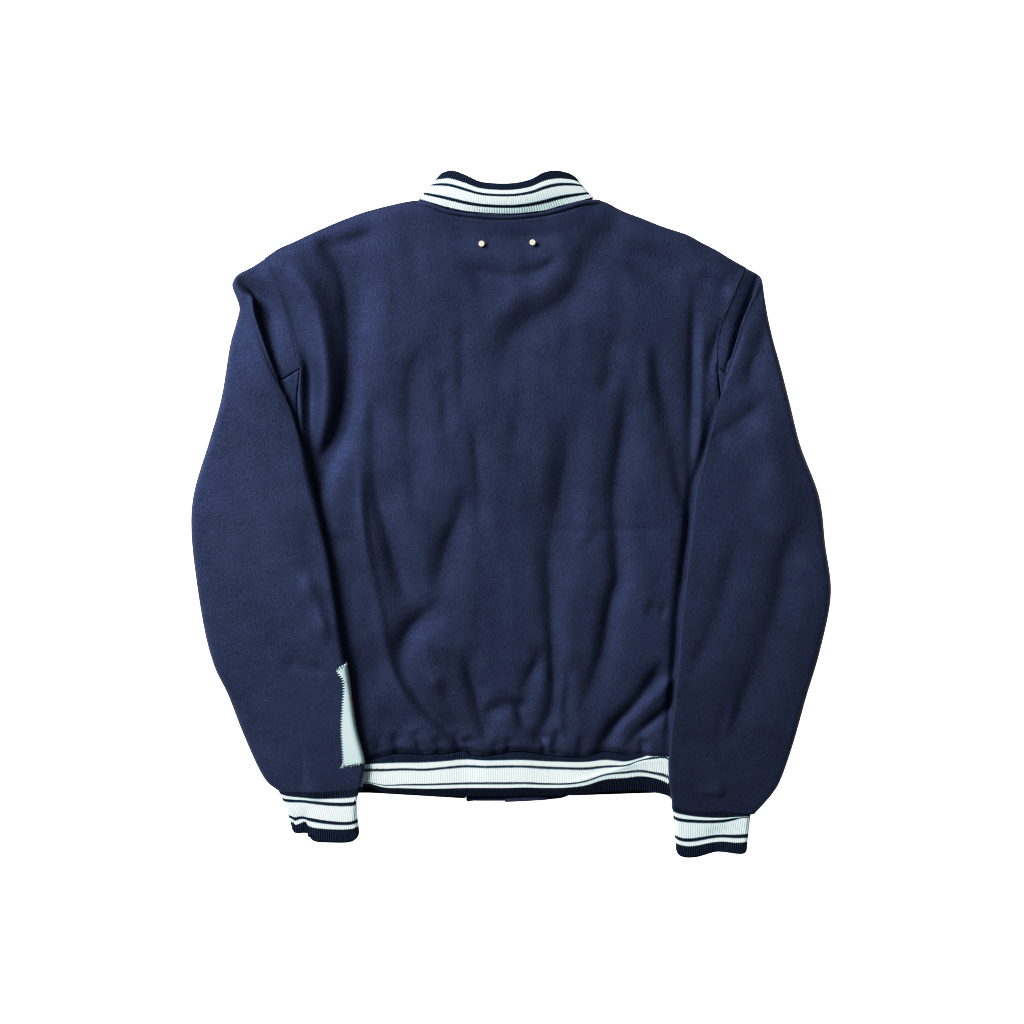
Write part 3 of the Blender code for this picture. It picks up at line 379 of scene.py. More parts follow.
def relief(x, y, folds):
    """Height that folds add at (x, y): lopsided soft troughs and even ridges, faded out at their ends."""
    total = np.zeros(np.shape(x))
    for fold in folds:
        line = smooth(fold.points, 30)
        reach = 2.4 * GENTLE * max(fold.widths)
        near = ((x > line[:, 0].min() - reach) & (x < line[:, 0].max() + reach)
                & (y > line[:, 1].min() - reach) & (y < line[:, 1].max() + reach))
        away, share = from_curve(x[near], y[near], fold.points)
        nearest = [np.interp(share, np.linspace(0, 1, 31), line[:, axis]) for axis in (0, 1)]
        facing = ((x[near] - nearest[0]) * WINDOW_SIDE[0] + (y[near] - nearest[1]) * WINDOW_SIDE[1])
        gentle = 0.5 - 0.5 * facing / (away + 0.0002) if fold.rise < 0 else np.zeros(away.shape)
        wander = 160 * (line[0, 0] - line[-1, 1])
        width = np.interp(share, [0, 1], fold.widths) * (1 + 0.15 * np.sin(9.0 * share + wander))
        width = width * (1 + (GENTLE - 1) * gentle)
        power = 1.35 + 0.5 * gentle if fold.rise < 0 else 1.8
        rounded = np.hypot(away, 0.0012) - 0.0012
        fade = ease(share, 0.0, 0.25) * (1 - ease(share, 0.75, 1.0))
        fade = fade * (1 + 0.18 * np.sin(13.0 * share + wander))
        total[near] += fold.rise * np.exp(-(rounded / width) ** power) * fade
    return total


def drape(x, y):
    """Faint lengthwise waves of the hanging cloth, nowhere alike."""
    sway = 0.012 * np.sin(9.0 * y + 1.3) + 0.007 * np.sin(23.0 * y + 14.0 * x)
    slow = np.sin(126.0 * (x + sway) + 2.0 * np.sin(11.0 * y + 9.0 * x))
    slow = slow * np.sin(14.0 * y + 17.0 * x)
    quick = np.sin(231.0 * (x - 0.6 * sway) + 1.7 * np.sin(19.0 * y + 0.8))
    quick = quick * np.sin(26.0 * y - 21.0 * x + 1.0)
    return 0.00036 * slow + 0.00017 * quick


def body_top(x, y):
    """Height of the back without its seams: crowned, folded, and rolled down at the shoulders."""
    x, y = np.atleast_1d(np.asarray(x, dtype=float)), np.atleast_1d(np.asarray(y, dtype=float))
    centre, side = column(CROWNS, "centre", y), column(CROWNS, "side", y)
    height = side + (centre - side) * (1 - np.clip(np.abs(x) / CROWN_HALF_WIDTH, 0, 1) ** 2)
    height = height + relief(x, y, BACK_FOLDS + HEM_GATHERS) + drape(x, y)
    height = BACK_LOWEST + BACK_LANDING * np.logaddexp(0.0, (height - BACK_LOWEST) / BACK_LANDING)
    for shoulder in (SHOULDER_LEFT, SHOULDER_RIGHT):
        away, _ = from_curve(x, y, shoulder)
        roll = 1 - (1 - np.clip(away / SHOULDER_ROLL, 0, 1)) ** 2.2
        height = SHOULDER_EDGE + (height - SHOULDER_EDGE) * roll
    return height


def seam_relief(away, proud=0.0007, stitch_at=0.0080, pulled=0.0005, sunk=0.0009):
    """Height over a seam's turned edge: it rises from the seam and ends in a stitched groove."""
    rise = proud * ease(away, 0.0, 0.0022) * (1 - ease(away, stitch_at - 0.001, stitch_at + 0.004))
    drop = sunk * np.exp(-(away / 0.0012) ** 2)
    groove = pulled * np.exp(-((away - stitch_at) / 0.0012) ** 2)
    return rise - drop - groove


def shares_with_fine_ends(length, fine_start=True, fine_end=True):
    """Shares of a length for a grid's lines, close together where a seam needs it."""
    beside_seam = np.arange(FINE_LINES) * FINE_STEP
    start = beside_seam if fine_start else np.array([0.0])
    end = length - beside_seam[::-1] if fine_end else np.array([length])
    count = max(1, round((end[0] - start[-1]) / GRID_STEP))
    middle = np.linspace(start[-1], end[0], count + 1)[1:-1]
    return np.concatenate([start, middle, end]) / length


def span_grid(bottom, top, left, right, across, up):
    """Points of a four-sided patch between its borders: bottom and top run left to right, the sides up."""
    across = across[None, :, None]
    up = up[:, None, None]
    between = ((1 - up) * bottom[None] + up * top[None]
               + (1 - across) * left[:, None] + across * right[:, None])
    corners = ((1 - up) * ((1 - across) * bottom[0] + across * bottom[-1])
               + up * ((1 - across) * top[0] + across * top[-1]))
    return between - corners


def joined_shares(parts):
    """The shares of several lengths laid end to end, each given as (length, its own shares)."""
    total = sum(length for length, _ in parts)
    start, joined = 0.0, [np.array([0.0])]
    for length, shares in parts:
        joined.append((start + length * shares[1:]) / total)
        start += length
    return np.concatenate(joined)


def cloth(name, grids, wall, finish, outwards=False):
    """A piece of cloth with a wall, from grids of points on its face that join where they meet.

    Each grid comes with a map of its own measures, in metres, for patterns that follow the cloth.
    """
    maker = bmesh.new()
    own_map = maker.loops.layers.uv.new("measures")
    for points, measures in grids:
        rows, columns = points.shape[:2]
        made = bmesh.ops.create_grid(maker, x_segments=columns - 1, y_segments=rows - 1, size=1.0)["verts"]
        flat_measures = measures.reshape(-1, 2)
        for number, (vertex, place) in enumerate(zip(made, points.reshape(-1, 3))):
            vertex.co = place
            for loop in vertex.link_loops:
                loop[own_map].uv = flat_measures[number]
    bmesh.ops.remove_doubles(maker, verts=maker.verts, dist=0.00001)
    mesh = bpy.data.meshes.new(name)
    maker.to_mesh(mesh)
    maker.free()
    mesh.shade_smooth()
    mesh.materials.append(finish)
    made = bpy.data.objects.new(name, mesh)
    bpy.context.scene.collection.objects.link(made)
    thicken = made.modifiers.new("wall", "SOLIDIFY")
    thicken.thickness = wall
    thicken.offset = 1.0 if outwards else -1.0
    thicken.use_even_offset = False
    return made


def feed(tree, socket, value):
    """Give a socket its value: a plain one, or a link from the socket that it comes from."""
    if isinstance(value, bpy.types.NodeSocket):
        tree.links.new(value, socket)
    else:
        socket.default_value = value


def node(tree, kind, place, *numbered, **named):
    """A shader node: named values are for its properties and sockets, the others for its first sockets."""
    made = tree.nodes.new(kind)
    made.location = place
    for name, value in named.items():
        if hasattr(made, name):
            setattr(made, name, value)
        else:
            feed(tree, made.inputs[name.replace("_", " ")], value)
    for socket, value in zip(made.inputs, numbered):
        feed(tree, socket, value)
    return made


def maths(tree, place, operation, *values):
    """The result of one operation on numbers."""
    return node(tree, "ShaderNodeMath", place, *values, operation=operation).outputs[0]


def noise(tree, place, where, **settings):
    """The value of a noise texture at given coordinates."""
    return node(tree, "ShaderNodeTexNoise", place, Vector=where, **settings).outputs["Fac"]


def ranged(tree, place, value, given, wanted, interpolation="LINEAR"):
    """A value moved from the range it is given in to the one that is wanted."""
    return node(tree, "ShaderNodeMapRange", place, interpolation_type=interpolation, Value=value,
                From_Min=given[0], From_Max=given[1], To_Min=wanted[0], To_Max=wanted[1]).outputs["Result"]


def surface_group(name, *colours):
    """A node group for a surface: it takes colours, and gives a colour, a roughness and a normal."""
    tree = bpy.data.node_groups.new(name, "ShaderNodeTree")
    for colour in colours:
        tree.interface.new_socket(colour, in_out="INPUT", socket_type="NodeSocketColor")
    for given, kind in (("Colour", "Color"), ("Roughness", "Float"), ("Normal", "Vector")):
        tree.interface.new_socket(given, in_out="OUTPUT", socket_type="NodeSocket" + kind)
    return tree


def napped_wool_group():
    """Short nap over a tight weave: mottled colour, a fine fibre bump and rare flecks of lint."""
    tree = surface_group("napped_wool", "Deep", "Raised", "Lint")
    given = node(tree, "NodeGroupInput", (-900, 300))
    place = node(tree, "ShaderNodeTexCoord", (-1300, 0)).outputs["Object"]
    fibres = noise(tree, (-900, 0), place, Scale=620.0, Detail=3.0, Roughness=0.6)
    brushed = node(tree, "ShaderNodeMapping", (-1100, -250), Vector=place, Scale=(1.0, 0.35, 1.0))
    strokes = noise(tree, (-900, -250), brushed.outputs["Vector"], Scale=900.0, Detail=2.0)
    patches = noise(tree, (-900, -500), place, Scale=42.0, Detail=4.0, Roughness=0.62)
    clouds = noise(tree, (-900, -750), place, Scale=9.0, Detail=3.0)
    flecks = node(tree, "ShaderNodeTexVoronoi", (-900, -1000), Vector=place, Scale=34.0)
    pile = maths(tree, (-650, -100), "ADD", fibres, strokes)
    strong = maths(tree, (-550, -200), "MULTIPLY", pile, 1.7)
    uneven = maths(tree, (-650, -550), "ADD", patches, clouds)
    both = maths(tree, (-450, -250), "ADD", strong, uneven)
    amount = ranged(tree, (-250, -250), both, (2.03, 3.37), (0.0, 1.0))
    tone = node(tree, "ShaderNodeMix", (0, 200), data_type="RGBA", Factor=amount,
                A=given.outputs["Deep"], B=given.outputs["Raised"])
    small = maths(tree, (-650, -1000), "LESS_THAN", flecks.outputs["Distance"], 0.010)
    pick = node(tree, "ShaderNodeSeparateColor", (-650, -1200), Color=flecks.outputs["Color"])
    rare = maths(tree, (-450, -1200), "LESS_THAN", pick.outputs["Red"], 0.12)
    lint = maths(tree, (-250, -1100), "MULTIPLY", small, rare)
    shown = node(tree, "ShaderNodeMix", (300, 200), data_type="RGBA", Factor=lint,
                 A=tone.outputs["Result"], B=given.outputs["Lint"])
    dull = ranged(tree, (300, -50), amount, (0.0, 1.0), (0.74, 0.62))
    felt = node(tree, "ShaderNodeBump", (300, -300), Strength=0.5, Distance=0.0012, Height=patches)
    fuzz = node(tree, "ShaderNodeBump", (550, -300), Strength=0.60, Distance=0.0008, Height=pile,
                Normal=felt.outputs["Normal"])
    node(tree, "NodeGroupOutput", (900, 0), Colour=shown.outputs["Result"], Roughness=dull,
         Normal=fuzz.outputs["Normal"])
    return tree


def dressed(name, group, colours, sheen=0.0, specular=0.3, gloss_tint=(1, 1, 1, 1)):
    """A material whose colour, roughness and normal come from a shared group."""
    made = bpy.data.materials.new(name)
    made.use_nodes = True
    tree = made.node_tree
    shader = tree.nodes["Principled BSDF"]
    surface = node(tree, "ShaderNodeGroup", (-300, 200), node_tree=group, **colours)
    wanted = {"Base Color": surface.outputs["Colour"], "Roughness": surface.outputs["Roughness"],
              "Normal": surface.outputs["Normal"], "Specular IOR Level": specular,
              "Specular Tint": gloss_tint, "Sheen Weight": sheen, "Sheen Roughness": 0.45,
              "Sheen Tint": gloss_tint}
    for socket, value in wanted.items():
        feed(tree, shader.inputs[socket], value)
    return made


napped_wool = napped_wool_group()
navy_wool = dressed("navy_wool", napped_wool,
                    {"Deep": (0.002, 0.003, 0.008, 1), "Raised": (0.016, 0.022, 0.050, 1),
                     "Lint": (0.30, 0.34, 0.42, 1)},
                    specular=0.55, gloss_tint=(0.31, 0.43, 0.94, 1))

shoulder_columns = (LEFT_SHOULDER, shares_with_fine_ends(LEFT_SHOULDER, True, False))
neck_columns = (NECK_LENGTH, np.linspace(0, 1, 66))
other_shoulder_columns = (RIGHT_SHOULDER, shares_with_fine_ends(RIGHT_SHOULDER, False, True))
across = joined_shares([shoulder_columns, neck_columns, other_shoulder_columns])
side_rows = (SIDE_SEAM, shares_with_fine_ends(SIDE_SEAM, True, False))
armhole_rows = (ARMHOLE_SEAM, shares_with_fine_ends(ARMHOLE_SEAM, False, True))
up = joined_shares([side_rows, armhole_rows])
top = np.vstack([at_shares(SHOULDER_LEFT, shoulder_columns[1]), at_shares(NECK, neck_columns[1])[1:],
                 at_shares(SHOULDER_RIGHT, other_shoulder_columns[1])[1:]])
left = np.vstack([at_shares(SIDE_LEFT, side_rows[1]), at_shares(ARMHOLE_LEFT, armhole_rows[1])[1:]])
right = np.vstack([at_shares(SIDE_RIGHT, side_rows[1]), at_shares(ARMHOLE_RIGHT, armhole_rows[1])[1:]])
plan = span_grid(at_shares(HEM, across), top, left, right, across, up)
x, y = plan[..., 0], plan[..., 1]
height = body_top(x, y)
for seam in (SIDE_LEFT, SIDE_RIGHT):
    height += seam_relief(from_curve(x, y, seam)[0])
for seam in (ARMHOLE_LEFT, ARMHOLE_RIGHT):
    height += ARMHOLE_RIDGE * np.exp(-(from_curve(x, y, seam)[0] / 0.0050) ** 2)
height += seam_relief(from_curve(x, y, NECK)[0], proud=0.0020, stitch_at=0.0066, pulled=0.0032)
away_from_hem = from_curve(x, y, HEM, 120)[0]
height -= HEM_PULL * np.exp(-(away_from_hem / 0.004) ** 2)
back = cloth("back_wool", [(np.dstack([plan, height]), plan)], WOOL, navy_wool)
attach(back, "root")
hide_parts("back")

# ---------------------------------------------------------------- fronts
# Two fronts of the same wool, under the back. They come round the body's sides to the side seams and
# overlap at the centre, where the closure is; they lie on the table with a few shallow folds of their own.
SEAM = 0.0003                 # gap between pieces that meet
SNAP_HEIGHT = 0.0013          # of the snap caps that the fronts lie over
FRONT_LIFT = 0.0020           # how far the fronts rise to meet the shoulder seam
SIDE_ROLL_AT = 0.0065         # from the folded side, where the body's height gives the roll's size
NECK_CORNER = (0.0030, -0.0012)           # from the back's corner at the neck to a front's
CENTRE_EDGE = {-1: -0.022, 1: -0.008}     # each front's edge past the middle, measured outwards
FRONT_NECK = [(0.0, 0.262), (0.034, 0.266), (0.066, 0.284), (0.090, 0.318), (0.100, 0.3565)]
# the front armhole on the flat cloth, x measured along the cloth from the middle
SCOOPS = {
    -1: [(0.2455, 0.190), (0.2530, 0.178), (0.266, 0.166), (0.280, 0.156), (0.297, 0.150), (0.312, 0.153)],
    1: [(0.2315, 0.192), (0.2400, 0.180), (0.256, 0.166), (0.272, 0.155), (0.290, 0.148), (0.305, 0.150)],
}
SHOULDERS = {-1: SHOULDER_LEFT[::-1], 1: SHOULDER_RIGHT}
ARMHOLES = {-1: ARMHOLE_LEFT, 1: ARMHOLE_RIGHT}
SIDES = {-1: SIDE_LEFT, 1: SIDE_RIGHT}
SIDE_NAMES = {-1: "left", 1: "right"}
# on the flat cloth of either front, lifted off the table
FRONT_FOLDS = [
    Fold("drag from the shoulder",
         [(0.150, 0.300), (0.128, 0.235), (0.118, 0.160)], (0.0120, 0.0120), 0.0022),
    Fold("long drape of the side",
         [(0.205, 0.120), (0.192, 0.020), (0.178, -0.085), (0.172, -0.180)], (0.0110, 0.0110), 0.0026),
    Fold("drape beside the closure",
         [(0.082, 0.170), (0.074, 0.060), (0.084, -0.050), (0.078, -0.150)], (0.0100, 0.0100), 0.0018),
    Fold("gather above the band",
         [(0.128, -0.200), (0.120, -0.235), (0.116, -0.272)], (0.0050, 0.0050), 0.0020),
    Fold("short gather above the band", [(0.158, -0.236), (0.154, -0.274)], (0.0035, 0.0035), 0.0016),
    Fold("gather near the centre", [(0.060, -0.226), (0.064, -0.272)], (0.0040, 0.0040), 0.0015),
]


def side_edge(side, y):
    """Distance of the folded side from the middle, at height y; side is -1 or 1."""
    return column(EDGES, "left" if side < 0 else "right", y)


def front_rest(side, x):
    """How far a front's outer face is off the table: over the snap caps, and the right over the left."""
    if side < 0:
        return (SNAP_HEIGHT + SEAM) * ease(x, -0.050, -0.030)
    return (SNAP_HEIGHT + WOOL + 3 * SEAM) * (1 - ease(x, 0.032, 0.052))


def wrap(side, along, y):
    """Place cloth measured along a front from the middle: on the table, round the side, and back on top."""
    edge = side_edge(side, y)
    height = body_top(side * (edge - SIDE_ROLL_AT), y).reshape(np.shape(y))
    radius = height / 2
    straight = edge - radius
    turn = np.clip((along - straight) / radius, 0, math.pi)
    back_again = np.maximum(along - straight - math.pi * radius, 0)
    x = side * (np.minimum(along, straight) + radius * np.sin(turn) - back_again)
    on_top = body_top(x, y) - body_top(side * straight, y)
    lift = FRONT_LIFT * np.clip(1 - from_curve(x, y, SHOULDERS[side])[0] / 0.020, 0, 1) ** 2
    lying = front_rest(side, x) + lift + relief(along, y, FRONT_FOLDS) * ease(straight - along, 0.0, 0.020)
    z = radius * (1 - np.cos(turn)) + np.where(back_again > 0, on_top, 0.0)
    return np.dstack([x, y, z + np.where(along <= straight, lying, 0.0)])


def front_grids(side):
    """The flat cloth of a front as two grids that join: inside the armhole, and out to the side seam."""
    mirror = np.array([side, 1.0])
    middle = CENTRE_EDGE[side]
    shoulder = at_shares(SHOULDERS[side], np.linspace(0, 1, 41)) * mirror
    shoulder[0] += NECK_CORNER
    armhole = np.array(ARMHOLES[side]) * mirror
    corner = np.array(SCOOPS[side][0])
    side_seam = smooth(SIDES[side], 130) * mirror
    radius = body_top(side * (side_edge(side, side_seam[:, 1]) - SIDE_ROLL_AT), side_seam[:, 1]) / 2
    straight = side_edge(side, side_seam[:, 1]) - radius
    round_side = 2 * straight + math.pi * radius - side_seam[:, 0] - 2 * SEAM
    unrolled = np.column_stack([round_side, side_seam[:, 1]])

    neck = smooth([(middle, FRONT_NECK[0][1]), *FRONT_NECK[1:-1], tuple(shoulder[0])], 28)
    top = np.vstack([neck, shoulder[1:]])
    inner_columns = len(top) - 1
    inner_hem = np.column_stack([np.linspace(middle, 0.78 * unrolled[0, 0], inner_columns + 1),
                                 np.full(inner_columns + 1, HEM_LINE)])
    split = np.linspace(inner_hem[-1], corner, len(unrolled))
    upper_armhole = armhole[armhole[:, 1] > corner[1] + 0.002] - (5 * SEAM, 0)
    right = np.vstack([split, smooth(np.vstack([corner, upper_armhole]), 34)[1:]])
    centre = np.column_stack([np.full(len(right), middle),
                              np.linspace(HEM_LINE, FRONT_NECK[0][1], len(right))])
    inner = span_grid(inner_hem, top, centre, right, np.linspace(0, 1, len(top)),
                      np.linspace(0, 1, len(right)))

    scoop = smooth(SCOOPS[side] + [tuple(unrolled[-1])], 44)
    outer_hem = np.column_stack([np.linspace(inner_hem[-1, 0], unrolled[0, 0], len(scoop)),
                                 np.full(len(scoop), HEM_LINE)])
    outer = span_grid(outer_hem, scoop, split, unrolled, np.linspace(0, 1, len(scoop)),
                      np.linspace(0, 1, len(unrolled)))
    return inner, outer


for side in (-1, 1):
    grids = []
    for flat in front_grids(side):
        placed = wrap(side, flat[..., 0], flat[..., 1])
        grids.append((placed, flat) if side < 0 else (placed[:, ::-1], flat[:, ::-1]))
    front = cloth("front_wool_" + SIDE_NAMES[side], grids, WOOL, navy_wool)
    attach(front, "root")
    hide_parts("front_" + SIDE_NAMES[side])

# ---------------------------------------------------------------- sleeves
# Two one-piece wool sleeves, flat tubes set into the armholes. Each is folded down over the body's side,
# with a tuck below the shoulder where the cloth goes under and comes back over itself.
LAYER = 0.0012                # room between the body and the sleeve that lies on it
PATCH_ROOM = 0.0020           # and more of it where the patch goes under
LEAST_HEIGHT = 0.0050         # of a flattened tube, room for two walls
ROUNDEST = 0.0070             # half height of a tube's edge, measured across
INNER_ROUNDEST = {-1: 0.0075, 1: 0.0005}     # the left inner edge is full, the right one pressed
CAP_PROUD = 0.0008            # how far the sleeve's cap stands over the back at the armhole seam
ARC_STEPS = 8                 # in a quarter circle at a tube's edge
FACE_STEPS = 42               # across a tube's upper face
SLEEVE_ROWS = 230

Section = namedtuple("Section", "inner_x inner_y outer_x outer_y bow top_inner top_middle top_outer")

# lines along the tuck, from the armpit to the shoulder's tip: x, y and the height of the cloth
TUCK_LEFT = [
    [(-0.2505, 0.1572, 0.0124), (-0.2600, 0.1715, 0.0122), (-0.2665, 0.1880, 0.0104),
     (-0.2700, 0.2060, 0.0078), (-0.2715, 0.2240, 0.0058), (-0.2765, 0.2440, 0.0060),
     (-0.2860, 0.2640, 0.0096), (-0.2955, 0.2798, 0.0088)],
    [(-0.2600, 0.1522, 0.0112), (-0.2700, 0.1720, 0.0096), (-0.2785, 0.1930, 0.0074),
     (-0.2848, 0.2130, 0.0056), (-0.2885, 0.2310, 0.0046), (-0.2915, 0.2460, 0.0048),
     (-0.2975, 0.2560, 0.0062), (-0.3050, 0.2650, 0.0078), (-0.3100, 0.2724, 0.0080)],
    [(-0.2638, 0.1525, 0.0190), (-0.2712, 0.1712, 0.0192), (-0.2836, 0.2074, 0.0198),
     (-0.2903, 0.2290, 0.0206), (-0.2925, 0.2440, 0.0202), (-0.2995, 0.2485, 0.0172),
     (-0.3070, 0.2535, 0.0158), (-0.3158, 0.2640, 0.0112)],
    [(-0.2605, 0.1430, 0.0198), (-0.2745, 0.1720, 0.0206), (-0.2872, 0.2050, 0.0206),
     (-0.2955, 0.2290, 0.0200), (-0.2998, 0.2410, 0.0190), (-0.3080, 0.2475, 0.0168),
     (-0.3164, 0.2560, 0.0118)],
]
TUCK_RIGHT = [
    [(0.2385, 0.1622, 0.0120), (0.2440, 0.1850, 0.0120), (0.2480, 0.2050, 0.0117),
     (0.2540, 0.2240, 0.0112), (0.2620, 0.2440, 0.0108), (0.2738, 0.2746, 0.0090)],
    [(0.2440, 0.1585, 0.0085), (0.2500, 0.1800, 0.0074), (0.2560, 0.2010, 0.0064),
     (0.2635, 0.2230, 0.0058), (0.2720, 0.2450, 0.0062), (0.2790, 0.2714, 0.0082)],
    [(0.2412, 0.1560, 0.0188), (0.2470, 0.1770, 0.0190), (0.2532, 0.1972, 0.0190),
     (0.2600, 0.2190, 0.0186), (0.2700, 0.2424, 0.0174), (0.2778, 0.2570, 0.0152),
     (0.2824, 0.2672, 0.0110)],
    [(0.2385, 0.1455, 0.0198), (0.2500, 0.1755, 0.0206), (0.2580, 0.1990, 0.0206),
     (0.2665, 0.2230, 0.0198), (0.2760, 0.2440, 0.0176), (0.2842, 0.2600, 0.0118)],
]
SLEEVE_LEFT = [
    Section(-0.2550, 0.1330, -0.3088, 0.2350, -0.0030, 0.0204, 0.0214, 0.0130),
    Section(-0.2512, 0.1240, -0.3125, 0.2160, -0.0010, 0.0210, 0.0218, 0.0135),
    Section(-0.2465, 0.1130, -0.3195, 0.1900, 0.0, 0.0218, 0.0222, 0.0140),
    Section(-0.2372, 0.0831, -0.3290, 0.1320, 0.0, 0.0236, 0.0226, 0.0145),
    Section(-0.2270, 0.0440, -0.3424, 0.0840, 0.0, 0.0254, 0.0230, 0.0145),
    Section(-0.2170, -0.0010, -0.3600, 0.0250, 0.0, 0.0268, 0.0230, 0.0145),
    Section(-0.2068, -0.0460, -0.3630, -0.0200, 0.0, 0.0268, 0.0230, 0.0145),
    Section(-0.1985, -0.0970, -0.3571, -0.0760, 0.0, 0.0270, 0.0230, 0.0145),
    Section(-0.1921, -0.1396, -0.3475, -0.1340, 0.0, 0.0275, 0.0228, 0.0145),
    Section(-0.1870, -0.1680, -0.3365, -0.1730, 0.0, 0.0280, 0.0222, 0.0145),
    Section(-0.1820, -0.2010, -0.3215, -0.2040, 0.0, 0.0280, 0.0215, 0.0142),
    Section(-0.1764, -0.2400, -0.3062, -0.2435, 0.0, 0.0275, 0.0205, 0.0140),
    Section(-0.1668, -0.2797, -0.2885, -0.2840, 0.0, 0.0252, 0.0190, 0.0135),
    Section(-0.1690, -0.2990, -0.2770, -0.3030, 0.0, 0.0236, 0.0176, 0.0130),
]
SLEEVE_RIGHT = [
    Section(0.2364, 0.1370, 0.2856, 0.2460, 0.0, 0.0204, 0.0222, 0.0180),
    Section(0.2342, 0.1300, 0.2905, 0.2175, 0.0, 0.0208, 0.0228, 0.0196),
    Section(0.2300, 0.1150, 0.2965, 0.1915, 0.0, 0.0206, 0.0232, 0.0246),
    Section(0.2226, 0.0887, 0.3035, 0.1655, 0.0, 0.0208, 0.0235, 0.0260),
    Section(0.2155, 0.0640, 0.3135, 0.1265, 0.0, 0.0212, 0.0238, 0.0268),
    Section(0.2062, 0.0288, 0.3260, 0.0770, 0.0, 0.0218, 0.0240, 0.0266),
    Section(0.2010, -0.0175, 0.3470, 0.0200, 0.0, 0.0226, 0.0242, 0.0254),
    Section(0.1955, -0.0650, 0.3540, -0.0340, 0.0, 0.0234, 0.0242, 0.0236),
    Section(0.1898, -0.1079, 0.3605, -0.0900, 0.0, 0.0242, 0.0238, 0.0212),
    Section(0.1870, -0.1530, 0.3490, -0.1520, 0.0, 0.0254, 0.0228, 0.0176),
    Section(0.1820, -0.2040, 0.3330, -0.2070, 0.0, 0.0270, 0.0218, 0.0142),
    Section(0.1774, -0.2490, 0.3190, -0.2570, 0.0, 0.0265, 0.0205, 0.0140),
    Section(0.1763, -0.2944, 0.3050, -0.2980, 0.0, 0.0240, 0.0185, 0.0135),
    Section(0.1785, -0.3120, 0.2940, -0.3170, 0.0, 0.0212, 0.0168, 0.0130),
]
# the seam with the cuff, over the cuff's first row: x, y and the height of the cloth
SLEEVE_END = {
    -1: [(-0.1708, -0.3072, 0.0226), (-0.1808, -0.3097, 0.0206), (-0.1944, -0.3119, 0.0190),
         (-0.2170, -0.3136, 0.0170), (-0.2396, -0.3139, 0.0150), (-0.2530, -0.3139, 0.0136),
         (-0.2630, -0.3136, 0.0128)],
    1: [(0.1806, -0.3288, 0.0188), (0.1939, -0.3340, 0.0172), (0.2147, -0.3362, 0.0160),
        (0.2392, -0.3364, 0.0148), (0.2584, -0.3382, 0.0138), (0.2745, -0.3390, 0.0128)],
}
SLEEVE_FOLDS = [
    Fold("trough along the left forearm's inner edge",
         [(-0.236, 0.010), (-0.224, -0.060), (-0.214, -0.130)], (0.0120, 0.0120), -0.0026),
    Fold("ridge above the patch",
         [(-0.236, -0.060), (-0.2215, -0.100), (-0.2105, -0.132), (-0.2060, -0.148)],
         (0.0080, 0.0050), 0.0040),
    Fold("crosswise crease of the left forearm", [(-0.262, -0.166), (-0.236, -0.170), (-0.204, -0.180)],
         (0.0045, 0.0045), -0.0012),
    Fold("crease below the right shoulder",
         [(0.290, 0.210), (0.280, 0.188), (0.270, 0.164), (0.267, 0.133)], (0.0070, 0.0070), -0.0030),
    Fold("hollow of the right upper arm",
         [(0.290, 0.132), (0.272, 0.117), (0.255, 0.103), (0.238, 0.091), (0.215, 0.076)],
         (0.0080, 0.0080), -0.0034),
    Fold("swell of the right upper arm", [(0.272, 0.130), (0.293, 0.070), (0.306, 0.010), (0.314, -0.050)],
         (0.0210, 0.0210), 0.0044),
    Fold("long trough of the right sleeve",
         [(0.340, 0.030), (0.322, -0.012), (0.3085, -0.045), (0.3000, -0.0966), (0.2870, -0.140),
          (0.2700, -0.185), (0.2480, -0.225), (0.2180, -0.268)], (0.0105, 0.0105), -0.0042),
    Fold("short trough of the right forearm",
         [(0.256, -0.010), (0.246, -0.055), (0.236, -0.097), (0.220, -0.138), (0.208, -0.165),
          (0.199, -0.200)], (0.0065, 0.0065), -0.0018),
]


def under_sleeve(x, y):
    """Height of what a sleeve lies on: the body's side where there is one, or else the table."""
    side = np.where(x < 0, -1.0, 1.0)
    edge = np.where(x < 0, side_edge(-1, y), side_edge(1, y))
    inside = np.minimum(np.abs(x), edge - 0.006)
    room = LAYER + PATCH_ROOM * ease(-y, 0.140, 0.165)
    body = body_top(side * inside, np.clip(y, HEM_LINE, 0.165)).reshape(np.shape(x))
    height = np.minimum(body, 0.0165) + room
    beyond_side = 1 - ease(np.abs(x), edge + 0.006, edge + 0.042)
    below_hem = 1 - ease(-y, 0.312, 0.342)
    above_armpit = 1 - ease(y, 0.155, 0.202)
    return height * beyond_side * below_hem * above_armpit


def ring_places(length, inner_half, outer_half):
    """Shares of the way across a flattened tube, and of its half height, at each point round it."""
    arc = np.linspace(0, math.pi / 2, ARC_STEPS + 1)
    inner_end = inner_half * (1 - np.cos(arc))
    outer_end = length - outer_half * (1 - np.cos(arc))
    face = np.linspace(0, 1, FACE_STEPS + 1)[1:-1]
    flat = inner_half + face * (length - inner_half - outer_half)
    distance = np.concatenate([inner_end, flat, outer_end[::-1], outer_end[1:], flat[::-1],
                               inner_end[::-1]])
    level = np.ones(len(flat))
    upward = np.concatenate([np.sin(arc), level, np.sin(arc)[::-1], -np.sin(arc)[1:], -level,
                             -np.sin(arc)[::-1]])
    return distance / length, upward


def height_across(inner, middle, outer, t):
    """Heights at shares of the way across a tube, on the parabola through its edges' and middle's."""
    return inner * (1 - t) * (1 - 2 * t) + middle * 4 * t * (1 - t) + outer * t * (2 * t - 1)


